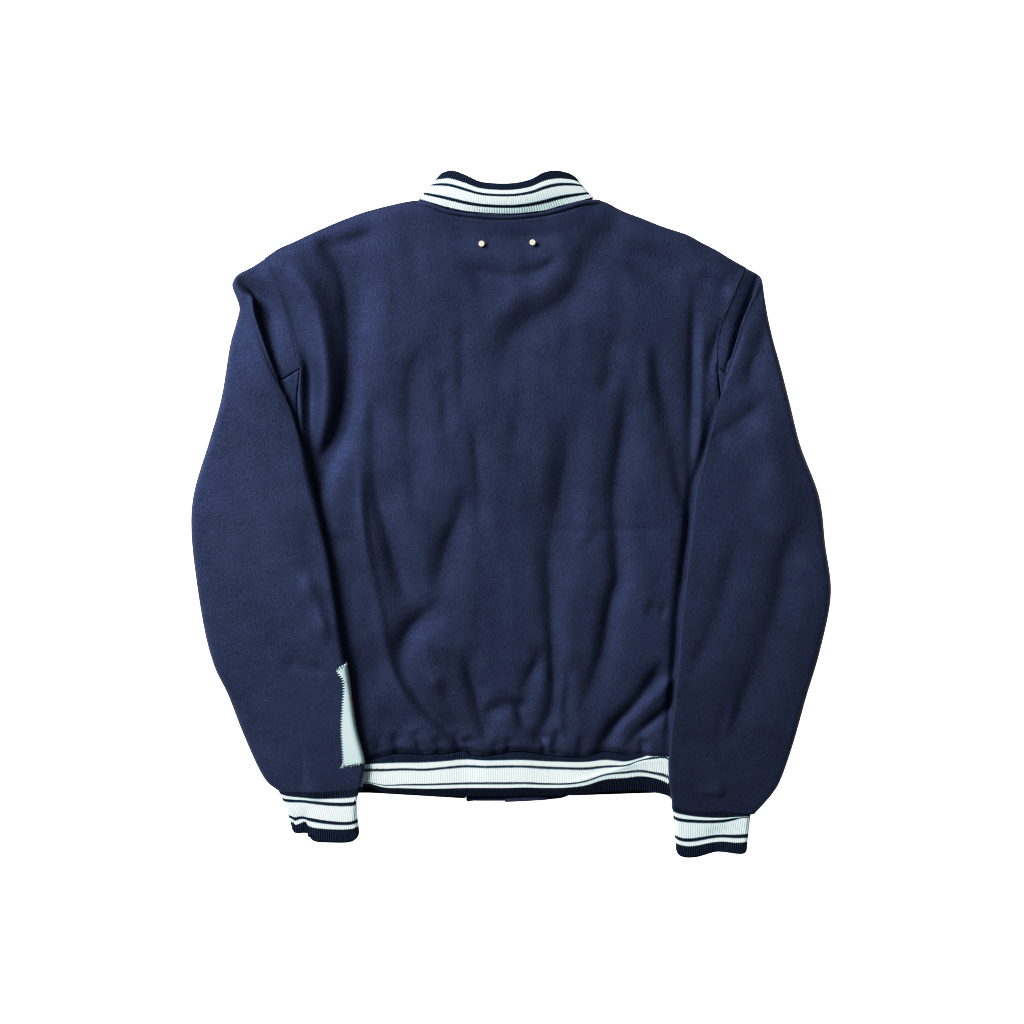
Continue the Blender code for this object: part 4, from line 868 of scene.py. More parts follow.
def section_line(section):
    """Places and heights across a tube's upper face, from its inner edge to its outer edge."""
    inner = np.array([section.inner_x, section.inner_y])
    chord = np.array([section.outer_x, section.outer_y]) - inner
    normal = np.array([chord[1], -chord[0]]) / np.linalg.norm(chord)
    t = np.linspace(0, 1, 25)
    plan = inner + t[:, None] * chord + (4 * section.bow * t * (1 - t))[:, None] * normal
    return np.column_stack([plan, height_across(section.top_inner, section.top_middle,
                                                section.top_outer, t)])


def straight(points, count):
    """`count` + 1 points along the straight runs between `points`, evenly spaced."""
    known = np.array(points, dtype=float)
    chord = run_along(known)
    wanted = np.linspace(0.0, chord[-1], count + 1)
    return np.column_stack([np.interp(wanted, chord, column_values) for column_values in known.T])


def tube(lines, folds, rows, under, levels=None, beside=0, roundest=(ROUNDEST, ROUNDEST)):
    """A flattened tube through lines across its upper face: rows of points from one end to the other.

    Levels, one for each line, are carried along with the rows. The first few lines, as many as `beside`,
    hang down to the table beside what the others lie on.
    """
    numbers = np.arange(len(lines))
    lies_on = ease(numbers, beside - 1.0, beside)
    upper = []
    for line, share in zip(lines, lies_on):
        drawn = smooth(line, 120)
        run = run_along(drawn[:, :2])
        ends = drawn[[0, -1]]
        halves = np.maximum(ends[:, 2] - under(ends[:, 0], ends[:, 1]), LEAST_HEIGHT) / 2
        halves = np.minimum(halves, [LEAST_HEIGHT / 2 + share * roundest[0], roundest[1]])
        t, upward = ring_places(run[-1], *halves)
        upper.append(np.column_stack([np.interp(t * run[-1], run, drawn[:, axis]) for axis in range(3)]))
    shape = np.array(upper).reshape(len(lines), -1)
    if levels is None:
        dense = smooth(np.column_stack([shape, numbers, numbers]), rows)
    else:
        dense = straight(np.column_stack([shape, levels, numbers]), rows)
    x, y, top = np.moveaxis(dense[:, :-2].reshape(rows + 1, -1, 3), 2, 0)
    bottom = under(x, y) * ease(dense[:, -1:], beside - 1.0, beside)
    top = np.maximum(top + relief(x, y, folds), bottom + LEAST_HEIGHT)
    return np.dstack([x, y, (top + bottom) / 2 + upward * (top - bottom) / 2]), dense[:, -2]


def tube_measures(points):
    """Distance round and along a tube, in metres, at each of its points."""
    around = np.linalg.norm(np.diff(points, axis=1), axis=2)
    along = np.linalg.norm(np.diff(points, axis=0), axis=2).mean(axis=1)
    u = np.concatenate([np.zeros((len(points), 1)), np.cumsum(around, axis=1)], axis=1)
    v = np.concatenate([[0.0], np.cumsum(along)])
    return np.dstack([u, np.broadcast_to(v[:, None], u.shape)])


sleeve_points = {}
for side, tuck, sections in ((-1, TUCK_LEFT, SLEEVE_LEFT), (1, TUCK_RIGHT, SLEEVE_RIGHT)):
    cap = smooth(ARMHOLES[side], 40)
    cap_height = body_top(cap[:, 0], cap[:, 1]) + CAP_PROUD
    cap_line = np.column_stack([cap[:, 0] - side * SEAM, cap[:, 1], cap_height])
    lines = [cap_line, *tuck, *(section_line(section) for section in sections), SLEEVE_END[side]]
    points, _ = tube(lines, SLEEVE_FOLDS, SLEEVE_ROWS, under_sleeve, beside=3,
                     roundest=(INNER_ROUNDEST[side], ROUNDEST))
    sleeve_points[side] = points
    facing = points if side < 0 else points[::-1]
    sleeve = cloth("sleeve_wool_" + SIDE_NAMES[side], [(facing, tube_measures(facing))], WOOL, navy_wool)
    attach(sleeve, "root")
    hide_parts("sleeve_" + SIDE_NAMES[side])

# ---------------------------------------------------------------- patch
# A pale felt patch with pinked edges, glued and sewn over the left forearm's inner fold, so that a narrow
# part shows and the rest is underneath. It has one plain coral spot, cut by the fold.
PATCH_WALL = 0.0012           # thickness of the felt
PATCH_TOP = -0.1655           # along the sleeve's inner fold, as y
PATCH_BOTTOM = -0.2812
PATCH_SLANT = (0.37, 0.17)    # of its top and bottom edges, down the sleeve for each metre from the fold
PATCH_UNDER = 0.058           # how far it reaches round the fold
PINKING = 0.0030              # between two teeth of its edge
PINKING_DEPTH = 0.0042
SPOT_CENTRE = (-0.0200, 0.0435)   # from the fold, and from the patch's top edge
SPOT_RADIUS = 0.0225
# how far the patch reaches over the upper face, from its top edge to its bottom edge
PATCH_REACH = [(0.000, 0.0148), (0.004, 0.0156), (0.009, 0.0150), (0.015, 0.0120), (0.022, 0.0112),
               (0.032, 0.0122), (0.048, 0.0155), (0.070, 0.0200), (0.095, 0.0250), (0.116, 0.0292)]


def on_sleeve(rings, runs, row, reach):
    """The place on a sleeve at a row and a distance round it from its inner fold; under it if negative."""
    lower = min(int(row), len(rings) - 2)
    ends = []
    for number in (lower, lower + 1):
        distance = np.mod(reach, runs[number][-1])
        ends.append(np.array([np.interp(distance, runs[number], values) for values in rings[number].T]))
    return ends[0] + (row - lower) * (ends[1] - ends[0])


def notch(distance):
    """How far a pinked edge is cut in, at a distance along it."""
    return np.abs(np.mod(distance / PINKING, 1.0) - 0.5) * 2 * PINKING_DEPTH


def outward(points):
    """Unit normals of a grid of points, on the side its faces look to."""
    facing = np.cross(np.gradient(points, axis=1), np.gradient(points, axis=0))
    return facing / np.linalg.norm(facing, axis=2)[..., None]


rings = sleeve_points[-1]
ring_runs = tube_measures(rings)[..., 0]
patch_length = PATCH_TOP - PATCH_BOTTOM
reach_table = np.array(PATCH_REACH)
patch_points, patch_measures = [], []
for down in np.linspace(0.0, patch_length, 221):
    share = down / patch_length
    visible = np.interp(down, reach_table[:, 0], reach_table[:, 1])
    reach = np.linspace(-PATCH_UNDER + notch(down), visible - notch(down), 91)
    pinked = notch(reach) * ((1 - share) ** 30 - share ** 30)
    slanted = ((1 - share) * PATCH_SLANT[0] + share * PATCH_SLANT[1]) * reach
    row = np.interp(-(PATCH_TOP - down - pinked - slanted), -rings[:, 0, 1], np.arange(len(rings)))
    patch_points.append([on_sleeve(rings, ring_runs, *place) for place in zip(row, reach)])
    patch_measures.append(np.column_stack([reach, np.full(len(reach), down)]))
patch_points = np.array(patch_points)
patch_points += SEAM * outward(patch_points)


def felt_group():
    """Pressed felt: a faint mottle and a short soft bump."""
    tree = surface_group("pressed_felt", "Dye")
    dye = node(tree, "NodeGroupInput", (-700, 200)).outputs["Dye"]
    place = node(tree, "ShaderNodeTexCoord", (-900, 0)).outputs["Object"]
    matted = noise(tree, (-700, 0), place, Scale=260.0, Detail=4.0, Roughness=0.65)
    worn = noise(tree, (-700, -250), place, Scale=28.0, Detail=2.0)
    both = maths(tree, (-450, -100), "ADD", matted, worn)
    shade = ranged(tree, (-250, 0), both, (0.7, 1.3), (0.90, 1.04))
    tone = node(tree, "ShaderNodeVectorMath", (0, 200), dye, operation="SCALE", Scale=shade)
    dull = ranged(tree, (0, -50), matted, (0.0, 1.0), (0.75, 0.95))
    pressed = node(tree, "ShaderNodeBump", (0, -300), Strength=0.35, Distance=0.0005, Height=matted)
    node(tree, "NodeGroupOutput", (600, 0), Colour=tone.outputs["Vector"], Roughness=dull,
         Normal=pressed.outputs["Normal"])
    return tree


pale_felt = dressed("pale_felt", felt_group(), {}, sheen=0.05, specular=0.3)
tree = pale_felt.node_tree
own_measures = node(tree, "ShaderNodeUVMap", (-1300, 0), uv_map="measures")
from_centre = node(tree, "ShaderNodeVectorMath", (-1100, 0), own_measures.outputs["UV"], (*SPOT_CENTRE, 0),
                   operation="DISTANCE")
in_spot = maths(tree, (-900, 0), "LESS_THAN", from_centre.outputs["Value"], SPOT_RADIUS)
dye = node(tree, "ShaderNodeMix", (-600, 200), data_type="RGBA", Factor=in_spot,
           A=(0.36, 0.49, 0.51, 1), B=(0.62, 0.13, 0.08, 1))
tree.links.new(dye.outputs["Result"], tree.nodes["Group"].inputs["Dye"])

patch = cloth("felt_patch", [(patch_points, np.array(patch_measures))], PATCH_WALL, pale_felt,
              outwards=True)
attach(patch, "root")
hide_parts("sleeve_patch")

# ---------------------------------------------------------------- collar
# A stand-up collar of ribbed knit, sewn round the neck, navy with pale stripes. It is folded at both sides
# of the neck; its front part lies on the table.
KNIT = 0.0025                 # thickness of the ribbed knit
RIB_PITCH = 0.0026            # from one rib to the next
RIB_COLUMNS = 5               # grid columns to a rib
RIB_DEPTH = 0.00055           # how far a rib stands over its grooves
PALE_YARN = (0.76, 0.92, 0.95, 1)
NAVY_YARN = (0.0100, 0.0185, 0.0410, 1)
COLLAR_HEIGHT = 0.046

Station = namedtuple("Station", "seam_x seam_y seam_z top_x top_y top_z bulge")
COLLAR = [
    Station(0.0040, 0.2660, 0.0, 0.0040, 0.3070, 0.0, 0.0),                       # left end, on the table
    Station(-0.0300, 0.2705, 0.0, -0.0150, 0.3090, 0.0, 0.0),
    Station(-0.0620, 0.2890, 0.0, -0.0370, 0.3210, 0.0, 0.0),
    Station(-0.0850, 0.3210, 0.0, -0.0560, 0.3480, 0.0, 0.0),
    Station(-0.0955, 0.3545, 0.0, -0.0740, 0.3800, 0.0002, 0.0),
    Station(-0.1040, 0.3565, 0.0010, -0.0820, 0.3810, 0.0014, 0.0),               # folded edge
    Station(-0.1057, 0.3577, 0.0036, -0.0840, 0.3818, 0.0048, 0.0),
    Station(-0.1030, 0.3560, 0.0064, -0.0815, 0.3840, 0.0090, 0.0),
    Station(-0.0927, 0.3525, 0.0080, -0.0775, 0.3866, 0.0130, 0.0012),
    Station(-0.0746, 0.3469, 0.0102, -0.0665, 0.3880, 0.0175, 0.0035),
    Station(-0.0537, 0.3421, 0.0118, -0.0505, 0.3818, 0.0215, 0.0055),
    Station(-0.0367, 0.3404, 0.0126, -0.0360, 0.3751, 0.0232, 0.0062),
    Station(-0.0170, 0.3392, 0.0130, -0.0170, 0.3728, 0.0240, 0.0065),
    Station(0.0028, 0.3390, 0.0130, 0.0028, 0.3733, 0.0240, 0.0065),
    Station(0.0226, 0.3407, 0.0128, 0.0210, 0.3775, 0.0232, 0.0062),
    Station(0.0396, 0.3430, 0.0122, 0.0350, 0.3853, 0.0210, 0.0052),
    Station(0.0565, 0.3482, 0.0108, 0.0490, 0.3880, 0.0180, 0.0040),
    Station(0.0735, 0.3528, 0.0092, 0.0620, 0.3861, 0.0150, 0.0025),
    Station(0.0859, 0.3565, 0.0078, 0.0702, 0.3822, 0.0125, 0.0012),
    Station(0.0905, 0.3582, 0.0064, 0.0740, 0.3790, 0.0090, 0.0),
    Station(0.0920, 0.3586, 0.0036, 0.0750, 0.3770, 0.0048, 0.0),
    Station(0.0910, 0.3572, 0.0010, 0.0740, 0.3742, 0.0014, 0.0),                 # folded edge
    Station(0.0875, 0.3525, 0.0, 0.0690, 0.3690, 0.0002, 0.0),
    Station(0.0830, 0.3205, 0.0, 0.0570, 0.3480, 0.0, 0.0),
    Station(0.0640, 0.2880, 0.0, 0.0400, 0.3210, 0.0, 0.0),
    Station(0.0380, 0.2700, 0.0, 0.0250, 0.3090, 0.0, 0.0),
    Station(0.0100, 0.2660, 0.0, 0.0100, 0.3070, 0.0, 0.0),                       # right end
]
# from the neck seam up: each stripe's share of the height at which it ends
COLLAR_STRIPES = [(0.03, NAVY_YARN), (0.195, PALE_YARN), (0.292, NAVY_YARN), (0.545, PALE_YARN),
                  (0.640, NAVY_YARN), (0.755, PALE_YARN), (1.0, NAVY_YARN)]


def rib_rows_group():
    """Height up a ribbed knit, unsteady at the edge of a stripe, where each rib's stitches step."""
    tree = bpy.data.node_groups.new("rib_rows", "ShaderNodeTree")
    tree.interface.new_socket("Level", in_out="OUTPUT", socket_type="NodeSocketFloat")
    own = node(tree, "ShaderNodeUVMap", (-900, 0), uv_map="measures").outputs["UV"]
    split = node(tree, "ShaderNodeSeparateXYZ", (-700, 0), Vector=own)
    ribs = maths(tree, (-500, 100), "MULTIPLY", split.outputs["X"], 2 * math.pi / RIB_PITCH)
    wave = maths(tree, (-300, 100), "COSINE", ribs)
    step = maths(tree, (-100, 100), "MULTIPLY", wave, 0.0008)
    uneven = noise(tree, (-500, -200), own, Scale=330.0, Detail=1.0)
    wander = ranged(tree, (-300, -200), uneven, (0.0, 1.0), (-0.0004, 0.0004))
    stepped = maths(tree, (150, 50), "ADD", step, wander)
    level = maths(tree, (400, 0), "ADD", split.outputs["Y"], stepped)
    node(tree, "NodeGroupOutput", (700, 0), Level=level)
    return tree


def rib_knit_group():
    """Ribbed knit with painted shade in the grooves between the ribs, deepest in dark yarn, a painted
    highlight on the rib tops, and small stitches up each rib.
    """
    tree = surface_group("rib_knit", "Yarn")
    yarn = node(tree, "NodeGroupInput", (-700, 400)).outputs["Yarn"]
    own = node(tree, "ShaderNodeUVMap", (-1300, 0), uv_map="measures")
    split = node(tree, "ShaderNodeSeparateXYZ", (-1100, 0), Vector=own.outputs["UV"])
    ribs = maths(tree, (-900, 100), "DIVIDE", split.outputs["X"], RIB_PITCH)
    phase = maths(tree, (-700, 100), "FRACT", ribs)
    middle = maths(tree, (-500, 100), "SUBTRACT", phase, 0.5)
    aside = maths(tree, (-300, 100), "ABSOLUTE", middle)
    # painted shade and painted highlight: the yarn's colour is darkened towards each groove between the
    # ribs, by a gamma and a scale down to 0.60, and lifted to 1.10 on each rib's top
    groove = ranged(tree, (-100, 100), aside, (0.18, 0.46), (1.0, 1.8), "SMOOTHSTEP")
    groove_shade_and_top_highlight = ranged(tree, (-100, 350), aside, (0.18, 0.46), (1.10, 0.60), "SMOOTHSTEP")
    stitches = maths(tree, (-900, -200), "DIVIDE", split.outputs["Y"], 0.0015)
    slanted = maths(tree, (-100, -150), "ADD", stitches, aside)
    pair = maths(tree, (50, -150), "FRACT", slanted)
    loop_height = maths(tree, (200, -150), "PINGPONG", pair, 0.5)
    place = node(tree, "ShaderNodeTexCoord", (-900, -500)).outputs["Object"]
    hairs = noise(tree, (-700, -500), place, Scale=900.0, Detail=2.0)
    shade = ranged(tree, (-450, -500), hairs, (0.0, 1.0), (0.88, 1.08))
    # the painted rib shading times a random tone from the hairs
    dark = maths(tree, (150, 500), "MULTIPLY", groove_shade_and_top_highlight, shade)
    groove_shaded_yarn = node(tree, "ShaderNodeGamma", (150, 300), Color=yarn, Gamma=groove)
    tone = node(tree, "ShaderNodeVectorMath", (400, 300), groove_shaded_yarn.outputs["Color"],
                operation="SCALE", Scale=dark)
    dull = ranged(tree, (400, 50), hairs, (0.0, 1.0), (0.80, 0.98))
    knitted = node(tree, "ShaderNodeBump", (450, -200), Strength=0.5, Distance=0.0004, Height=loop_height)
    node(tree, "NodeGroupOutput", (900, 0), Colour=tone.outputs["Vector"], Roughness=dull,
         Normal=knitted.outputs["Normal"])
    return tree


rib_rows = rib_rows_group()
rib_knit = rib_knit_group()


def striped_knit(name, stripes, total):
    """Ribbed knit with stripes, each given by the level at which it ends as a share of the total."""
    made = dressed(name, rib_knit, {}, specular=0.05)
    tree = made.node_tree
    level = node(tree, "ShaderNodeGroup", (-1100, 200), node_tree=rib_rows).outputs["Level"]
    share = maths(tree, (-900, 200), "DIVIDE", level, total)
    ramp = node(tree, "ShaderNodeValToRGB", (-700, 200), Fac=share)
    ramp.color_ramp.interpolation = "CONSTANT"
    stops = ramp.color_ramp.elements
    stops[0].position, stops[0].color = 0.0, stripes[0][1]
    stops[1].position, stops[1].color = stripes[0][0], stripes[1][1]
    for (end, _), (_, yarn) in zip(stripes[1:], stripes[2:]):
        stops.new(end).color = yarn
    tree.links.new(ramp.outputs["Color"], tree.nodes["Group"].inputs["Yarn"])
    return made


def ribbed(rows, levels):
    """Lay ribs on a band given as rows of points: its columns spaced evenly, raised into ridges.

    Returns the points and a map of the band's own measures: distance along it, and the rows' levels.
    """
    runs = [run_along(row) for row in rows]
    ribs = round(np.mean([run[-1] for run in runs]) / RIB_PITCH)
    share = np.linspace(0, 1, ribs * RIB_COLUMNS + 1)
    points = np.array([np.column_stack([np.interp(share * run[-1], run, values) for values in row.T])
                       for row, run in zip(rows, runs)])
    phase = np.mod(np.arange(len(share)) / RIB_COLUMNS, 1.0)
    ridge = RIB_DEPTH * (1 - np.abs(2 * phase - 1) ** 3)
    spacing = np.linalg.norm(np.diff(points, axis=0), axis=2) / np.abs(np.diff(levels))[:, None]
    loose = np.clip(np.minimum(np.vstack([spacing[:1], spacing]), np.vstack([spacing, spacing[-1:]])), 0, 1)
    closed = np.allclose(points[:, 0], points[:, -1], atol=1e-6)
    points = points + (ridge * loose)[..., None] * outward(points)
    if closed:
        points[:, -1] = points[:, 0]
    along = np.arange(len(share)) / RIB_COLUMNS * RIB_PITCH
    u, v = np.meshgrid(along, levels)
    return points, np.dstack([u, v])


collar_rows = 24
stations = np.array(COLLAR)
chords = smooth(stations[:, :6], 500)
bulge = smooth(stations, 500)[:, 6]
share = np.linspace(0, 1, collar_rows + 1)[:, None, None]
collar_points = (1 - share) * chords[None, :, :3] + share * chords[None, :, 3:6]
collar_points[..., 2] += np.sin(math.pi * share[..., 0]) * bulge
collar_points[..., 2] = np.maximum(collar_points[..., 2], 0.0)
collar_levels = share[:, 0, 0] * COLLAR_HEIGHT
collar = cloth("collar_knit", [ribbed(collar_points, collar_levels)], KNIT,
               striped_knit("collar_stripes", COLLAR_STRIPES, COLLAR_HEIGHT))
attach(collar, "root")
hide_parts("collar_rib")

# ---------------------------------------------------------------- hem band
# A ribbed band with the collar's stripes, from one front tab round the back to the other. Its lower edge
# is rolled under, and towards its right end it is pushed up in a fold that hides its upper stripes.
HEM_BAND = 0.056              # its width
HEM_BAND_BOTTOM_HEIGHT = 0.0085              # of its lower edge, over the table
HEM_BAND_MIDDLE_RISE = 0.0025                # and how much higher that is in the middle
HEM_FRONT_DROP = {-1: 0.0400, 1: 0.0374}     # how far it reaches down beside either tab, under the jacket
HEM_SIDE_DROP = 0.034         # and at the sides
HEM_FULLNESS = 0.0022         # how much the knit swells below its seam, and sinks at its rolled edge
PUSHED_UNDER = 0.0082         # how far its right end is pushed up under the wool
UNDER_WOOL = 0.0060           # and how far it sinks to pass below it
TAB_SIDE = {-1: -0.0520, 1: 0.0660}          # where each front's tab ends and the band begins
HEM_STRIPES = [(0.143, NAVY_YARN), (0.241, PALE_YARN), (0.286, NAVY_YARN), (0.607, PALE_YARN),
               (0.652, NAVY_YARN), (0.750, PALE_YARN), (1.0, NAVY_YARN)]

# how wide each stripe shows at places across the back, from the seam down, in millimetres, with the thin
# lines at their narrowest
Stripes = namedtuple("Stripes", "x navy pale line broad low_line low_pale low_navy")
HEM_SHOWS = [
    Stripes(-0.300, 8.0, 5.1, 3.3, 17.4, 3.2, 5.2, 9.8),
    Stripes(-0.185, 6.0, 5.1, 3.3, 13.4, 1.4, 1.8, 6.0),
    Stripes(-0.166, 2.5, 5.0, 3.3, 12.4, 0.6, 0.4, 3.9),
    Stripes(-0.1435, 7.7, 5.7, 3.3, 15.4, 1.1, 1.7, 7.4),
    Stripes(-0.1209, 10.2, 5.4, 2.8, 15.6, 1.5, 3.1, 6.9),
    Stripes(-0.0983, 8.4, 6.5, 2.8, 14.6, 2.0, 3.4, 8.5),
    Stripes(-0.0757, 7.7, 5.8, 3.0, 15.9, 2.1, 3.8, 10.1),
    Stripes(-0.0531, 8.8, 5.7, 3.3, 16.7, 2.3, 3.8, 10.3),
    Stripes(-0.0305, 4.1, 5.6, 3.0, 15.9, 2.5, 3.8, 10.3),
    Stripes(-0.0079, 7.2, 5.2, 3.2, 16.3, 2.5, 3.8, 10.5),
    Stripes(0.0147, 8.6, 5.4, 3.0, 16.2, 2.5, 3.5, 10.3),
    Stripes(0.0373, 6.8, 5.0, 3.6, 15.9, 1.9, 3.3, 10.2),
    Stripes(0.0599, 5.2, 5.3, 3.3, 15.3, 1.8, 3.1, 9.6),
    Stripes(0.0825, 4.5, 5.4, 3.8, 11.6, 1.5, 3.8, 10.8),
    Stripes(0.1051, 9.0, 5.4, 3.5, 6.3, 1.8, 4.2, 15.1),
    Stripes(0.1277, 7.9, 3.2, 2.1, 5.3, 2.4, 4.7, 16.7),
    Stripes(0.1446, 6.3, 1.6, 1.4, 9.6, 2.9, 4.0, 17.4),
    Stripes(0.1616, 4.0, 2.6, 2.2, 14.7, 3.1, 3.5, 17.6),
    Stripes(0.1763, 4.0, 2.6, 2.2, 17.6, 4.2, 5.0, 15.1),
    Stripes(0.2000, 6.0, 3.6, 2.4, 16.8, 3.0, 4.7, 12.0),
    Stripes(0.3000, 8.0, 5.1, 3.3, 17.4, 3.2, 5.2, 9.8),
]
# the line of the fold that its right end is pushed up in
HEM_LAP = [(0.0500, -0.3060), (0.0599, -0.3045), (0.0900, -0.2960), (0.1164, -0.2887), (0.1446, -0.2797),
           (0.1600, -0.2772), (0.1763, -0.2740)]


def fuller(shown):
    """Widths with the two thin navy lines drawn fuller, taken from the pale stripes beside them."""
    line_gain = min(0.9, 0.4 + 0.25 * shown.pale)
    low_gain = 0.9 if shown.low_line > 1.3 else 0.4
    pale = round(shown.pale - 0.4 * (line_gain / 0.9), 1)
    line = round(shown.line + line_gain, 1)
    low_line = round(shown.low_line + low_gain, 1)
    low_pale = round(max(shown.low_pale - 0.4 * (low_gain / 0.9), 0.3), 1)
    between_navies = shown.pale + shown.line + shown.broad + shown.low_line + shown.low_pale
    broad = round(between_navies - pale - line - low_line - low_pale, 1)
    return shown._replace(pale=pale, line=line, broad=broad, low_line=low_line, low_pale=low_pale)


def pushed_up(x):
    """How far the band's upper stripes are pushed up under the wool, at x."""
    return PUSHED_UNDER * ease(x, 0.128, 0.160) * (1 - ease(x, 0.180, 0.200))


def lap(x, y, points, steep, gentle, rise):
    """An edge of cloth that laps over: steep on the left of its line, falling gently on the right of it."""
    line = smooth(points, 60)
    away, share = from_curve(x, y, points, 60)
    index = np.clip((share * 60).astype(int), 0, 59)
    run = line[index + 1] - line[index]
    on_left = run[..., 0] * (y - line[index][..., 1]) - run[..., 1] * (x - line[index][..., 0]) > 0
    fade = 1 - np.abs(2 * share - 1) ** 4
    return rise * fade * np.where(on_left, np.exp(-(away / steep) ** 2), np.exp(-away / gentle))


hem_levels = np.linspace(0.0, HEM_BAND, 27)
stripe_levels = np.concatenate([[0.0], [end * HEM_BAND for end, _ in HEM_STRIPES]])
shows = np.array([fuller(shown) for shown in HEM_SHOWS])
hem_seam = smooth(HEM, 400)
seam_there = np.interp(shows[:, 0], hem_seam[:, 0], hem_seam[:, 1]) + pushed_up(shows[:, 0])
lines_down = seam_there[:, None] - np.cumsum(shows[:, 1:], axis=1) / 1000
stripe_lines = smooth(np.column_stack([shows[:, 0], lines_down]), 400)


def hem_end(side, fraction):
    """A row of the band from a tab along the table and round the side, a fraction of the way down it."""
    edge = side_edge(side, HEM_LINE - fraction * HEM_SIDE_DROP) - 0.001
    side_height = float(body_top(side * edge, HEM_LINE)[0])
    radius = ((1 - fraction) * side_height + fraction * HEM_BAND_BOTTOM_HEIGHT) / 2
    y_front = HEM_LINE - 2 * SEAM - fraction * HEM_FRONT_DROP[side]
    y_side = HEM_LINE - 2 * SEAM - fraction * HEM_SIDE_DROP
    stretch = np.linspace(TAB_SIDE[side] + side * SEAM, side * (edge - radius), 60)[:-1]
    lying = np.column_stack([stretch, np.interp(np.abs(stretch), [0.06, 0.16], [y_front, y_side]),
                             np.zeros(len(stretch))])
    turn = np.linspace(0, math.pi, 25)
    rolled = np.column_stack([side * (edge - radius + radius * np.sin(turn)), np.full(25, y_side),
                              radius * (1 - np.cos(turn))])
    return np.vstack([lying, rolled])


def stripe_place(level, x, y_seam):
    """Where a level of the band shows on the back, as y, between the lines of its stripes."""
    y_edges = np.vstack([y_seam + pushed_up(x), [np.interp(x, stripe_lines[:, 0], edge_line)
                                                 for edge_line in stripe_lines[:, 1:].T]])
    y_edges = np.minimum.accumulate(y_edges, axis=0)
    return np.array([np.interp(level, stripe_levels, edges) for edges in y_edges.T]) - 2 * SEAM


def hem_row(level):
    """A row of the band, a level down it: from the left tab, over the back, to the right tab."""
    fraction = level / HEM_BAND
    left, right = hem_end(-1, fraction), hem_end(1, fraction)
    x = np.linspace(left[-1, 0], right[-1, 0], 460)[1:-1]
    y_seam = np.interp(x, hem_seam[:, 0], hem_seam[:, 1])
    blend = ease(np.minimum(x - x[0], x[-1] - x), 0.0, 0.030)
    y = (blend * stripe_place(level, x, y_seam)
         + (1 - blend) * (HEM_LINE - 2 * SEAM - fraction * HEM_SIDE_DROP))
    lifted = HEM_BAND_MIDDLE_RISE * (1 - ease(np.abs(x), 0.070, 0.150))
    raised = HEM_FULLNESS * ease(level, 0.0, 0.006) * (1 - ease(level, 0.040, 0.056))
    gathered = body_top(x, y_seam)
    calm = np.convolve(np.pad(gathered, 20, mode="edge"), np.hanning(41) / np.hanning(41).sum(), "valid")
    along_seam = gathered + (calm - gathered) * ease(level, 0.0, 0.007)
    z = ((1 - fraction) * along_seam + fraction * (HEM_BAND_BOTTOM_HEIGHT + lifted) + raised
         - HEM_FULLNESS * ease(level, 0.044, HEM_BAND)
         + lap(x, y, HEM_LAP, steep=0.0014, gentle=0.010, rise=0.0030) * blend
         - UNDER_WOOL * ease(y - y_seam, -0.0012, 0.0022))
    return np.vstack([left, np.column_stack([x, y, z]), right[::-1]])


hem_points, hem_measures = ribbed([hem_row(level) for level in hem_levels[::-1]], hem_levels[::-1])
hem_band = cloth("hem_knit", [(hem_points, hem_measures)], KNIT,
                 striped_knit("hem_stripes", HEM_STRIPES, HEM_BAND))
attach(hem_band, "root")
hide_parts("hem_rib")

# ---------------------------------------------------------------- hem tabs
# The two plain wool ends of the hem band at the centre front, one over the other; they lie on the table
# and peep out below the band.
TAB_CORNER = 0.0015           # radius of the rounded corner at a tab's outer end
# the lower edge of either tab, from left to right
TAB_BOTTOM = {-1: [(-0.0498, -0.3256), (-0.0434, -0.3247), (0.0100, -0.3246)],
              1: [(-0.0100, -0.3259), (0.0098, -0.3251), (0.0357, -0.3236), (0.0550, -0.3220),
                  (0.0600, -0.3204), (0.0660, -0.3180)]}
for side in (-1, 1):
    start, end = (-CENTRE_EDGE[-1], TAB_SIDE[-1]) if side < 0 else (TAB_SIDE[1], CENTRE_EDGE[1])
    x, share_up = np.meshgrid(np.linspace(start, end, 60), np.linspace(0, 1, 36))
    lower_edge = np.array(TAB_BOTTOM[side])
    bottom = np.interp(x, lower_edge[:, 0], lower_edge[:, 1])
    into_corner = TAB_CORNER - np.clip(np.abs(x - TAB_SIDE[side]), 0, TAB_CORNER)
    cut_off = TAB_CORNER - np.sqrt(TAB_CORNER ** 2 - into_corner ** 2)
    y = bottom + cut_off + share_up * (HEM_LINE - SEAM - bottom - cut_off)
    folded_edge = 0.0012 * np.exp(-((y - bottom) / 0.0022) ** 2)
    z = front_rest(side, x) + folded_edge
    tab = cloth("hem_tab_wool_" + SIDE_NAMES[side], [(np.dstack([x, y, z]), np.dstack([x, y]))], WOOL,
                navy_wool)
    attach(tab, "root")
    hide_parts("hem_tab_" + SIDE_NAMES[side])

# ---------------------------------------------------------------- cuffs
# Ribbed cuffs with the same stripes, gathered on the sleeve ends. They lie flattened and a little twisted,
# so that their lower edges wave; the left one has a small pleat.
CUFF = 0.059                  # from its seam to its lower edge
CUFF_STRIPES = [(0.136, NAVY_YARN), (0.206, PALE_YARN), (0.286, NAVY_YARN), (0.596, PALE_YARN),
                (0.676, NAVY_YARN), (0.763, PALE_YARN), (1.0, NAVY_YARN)]
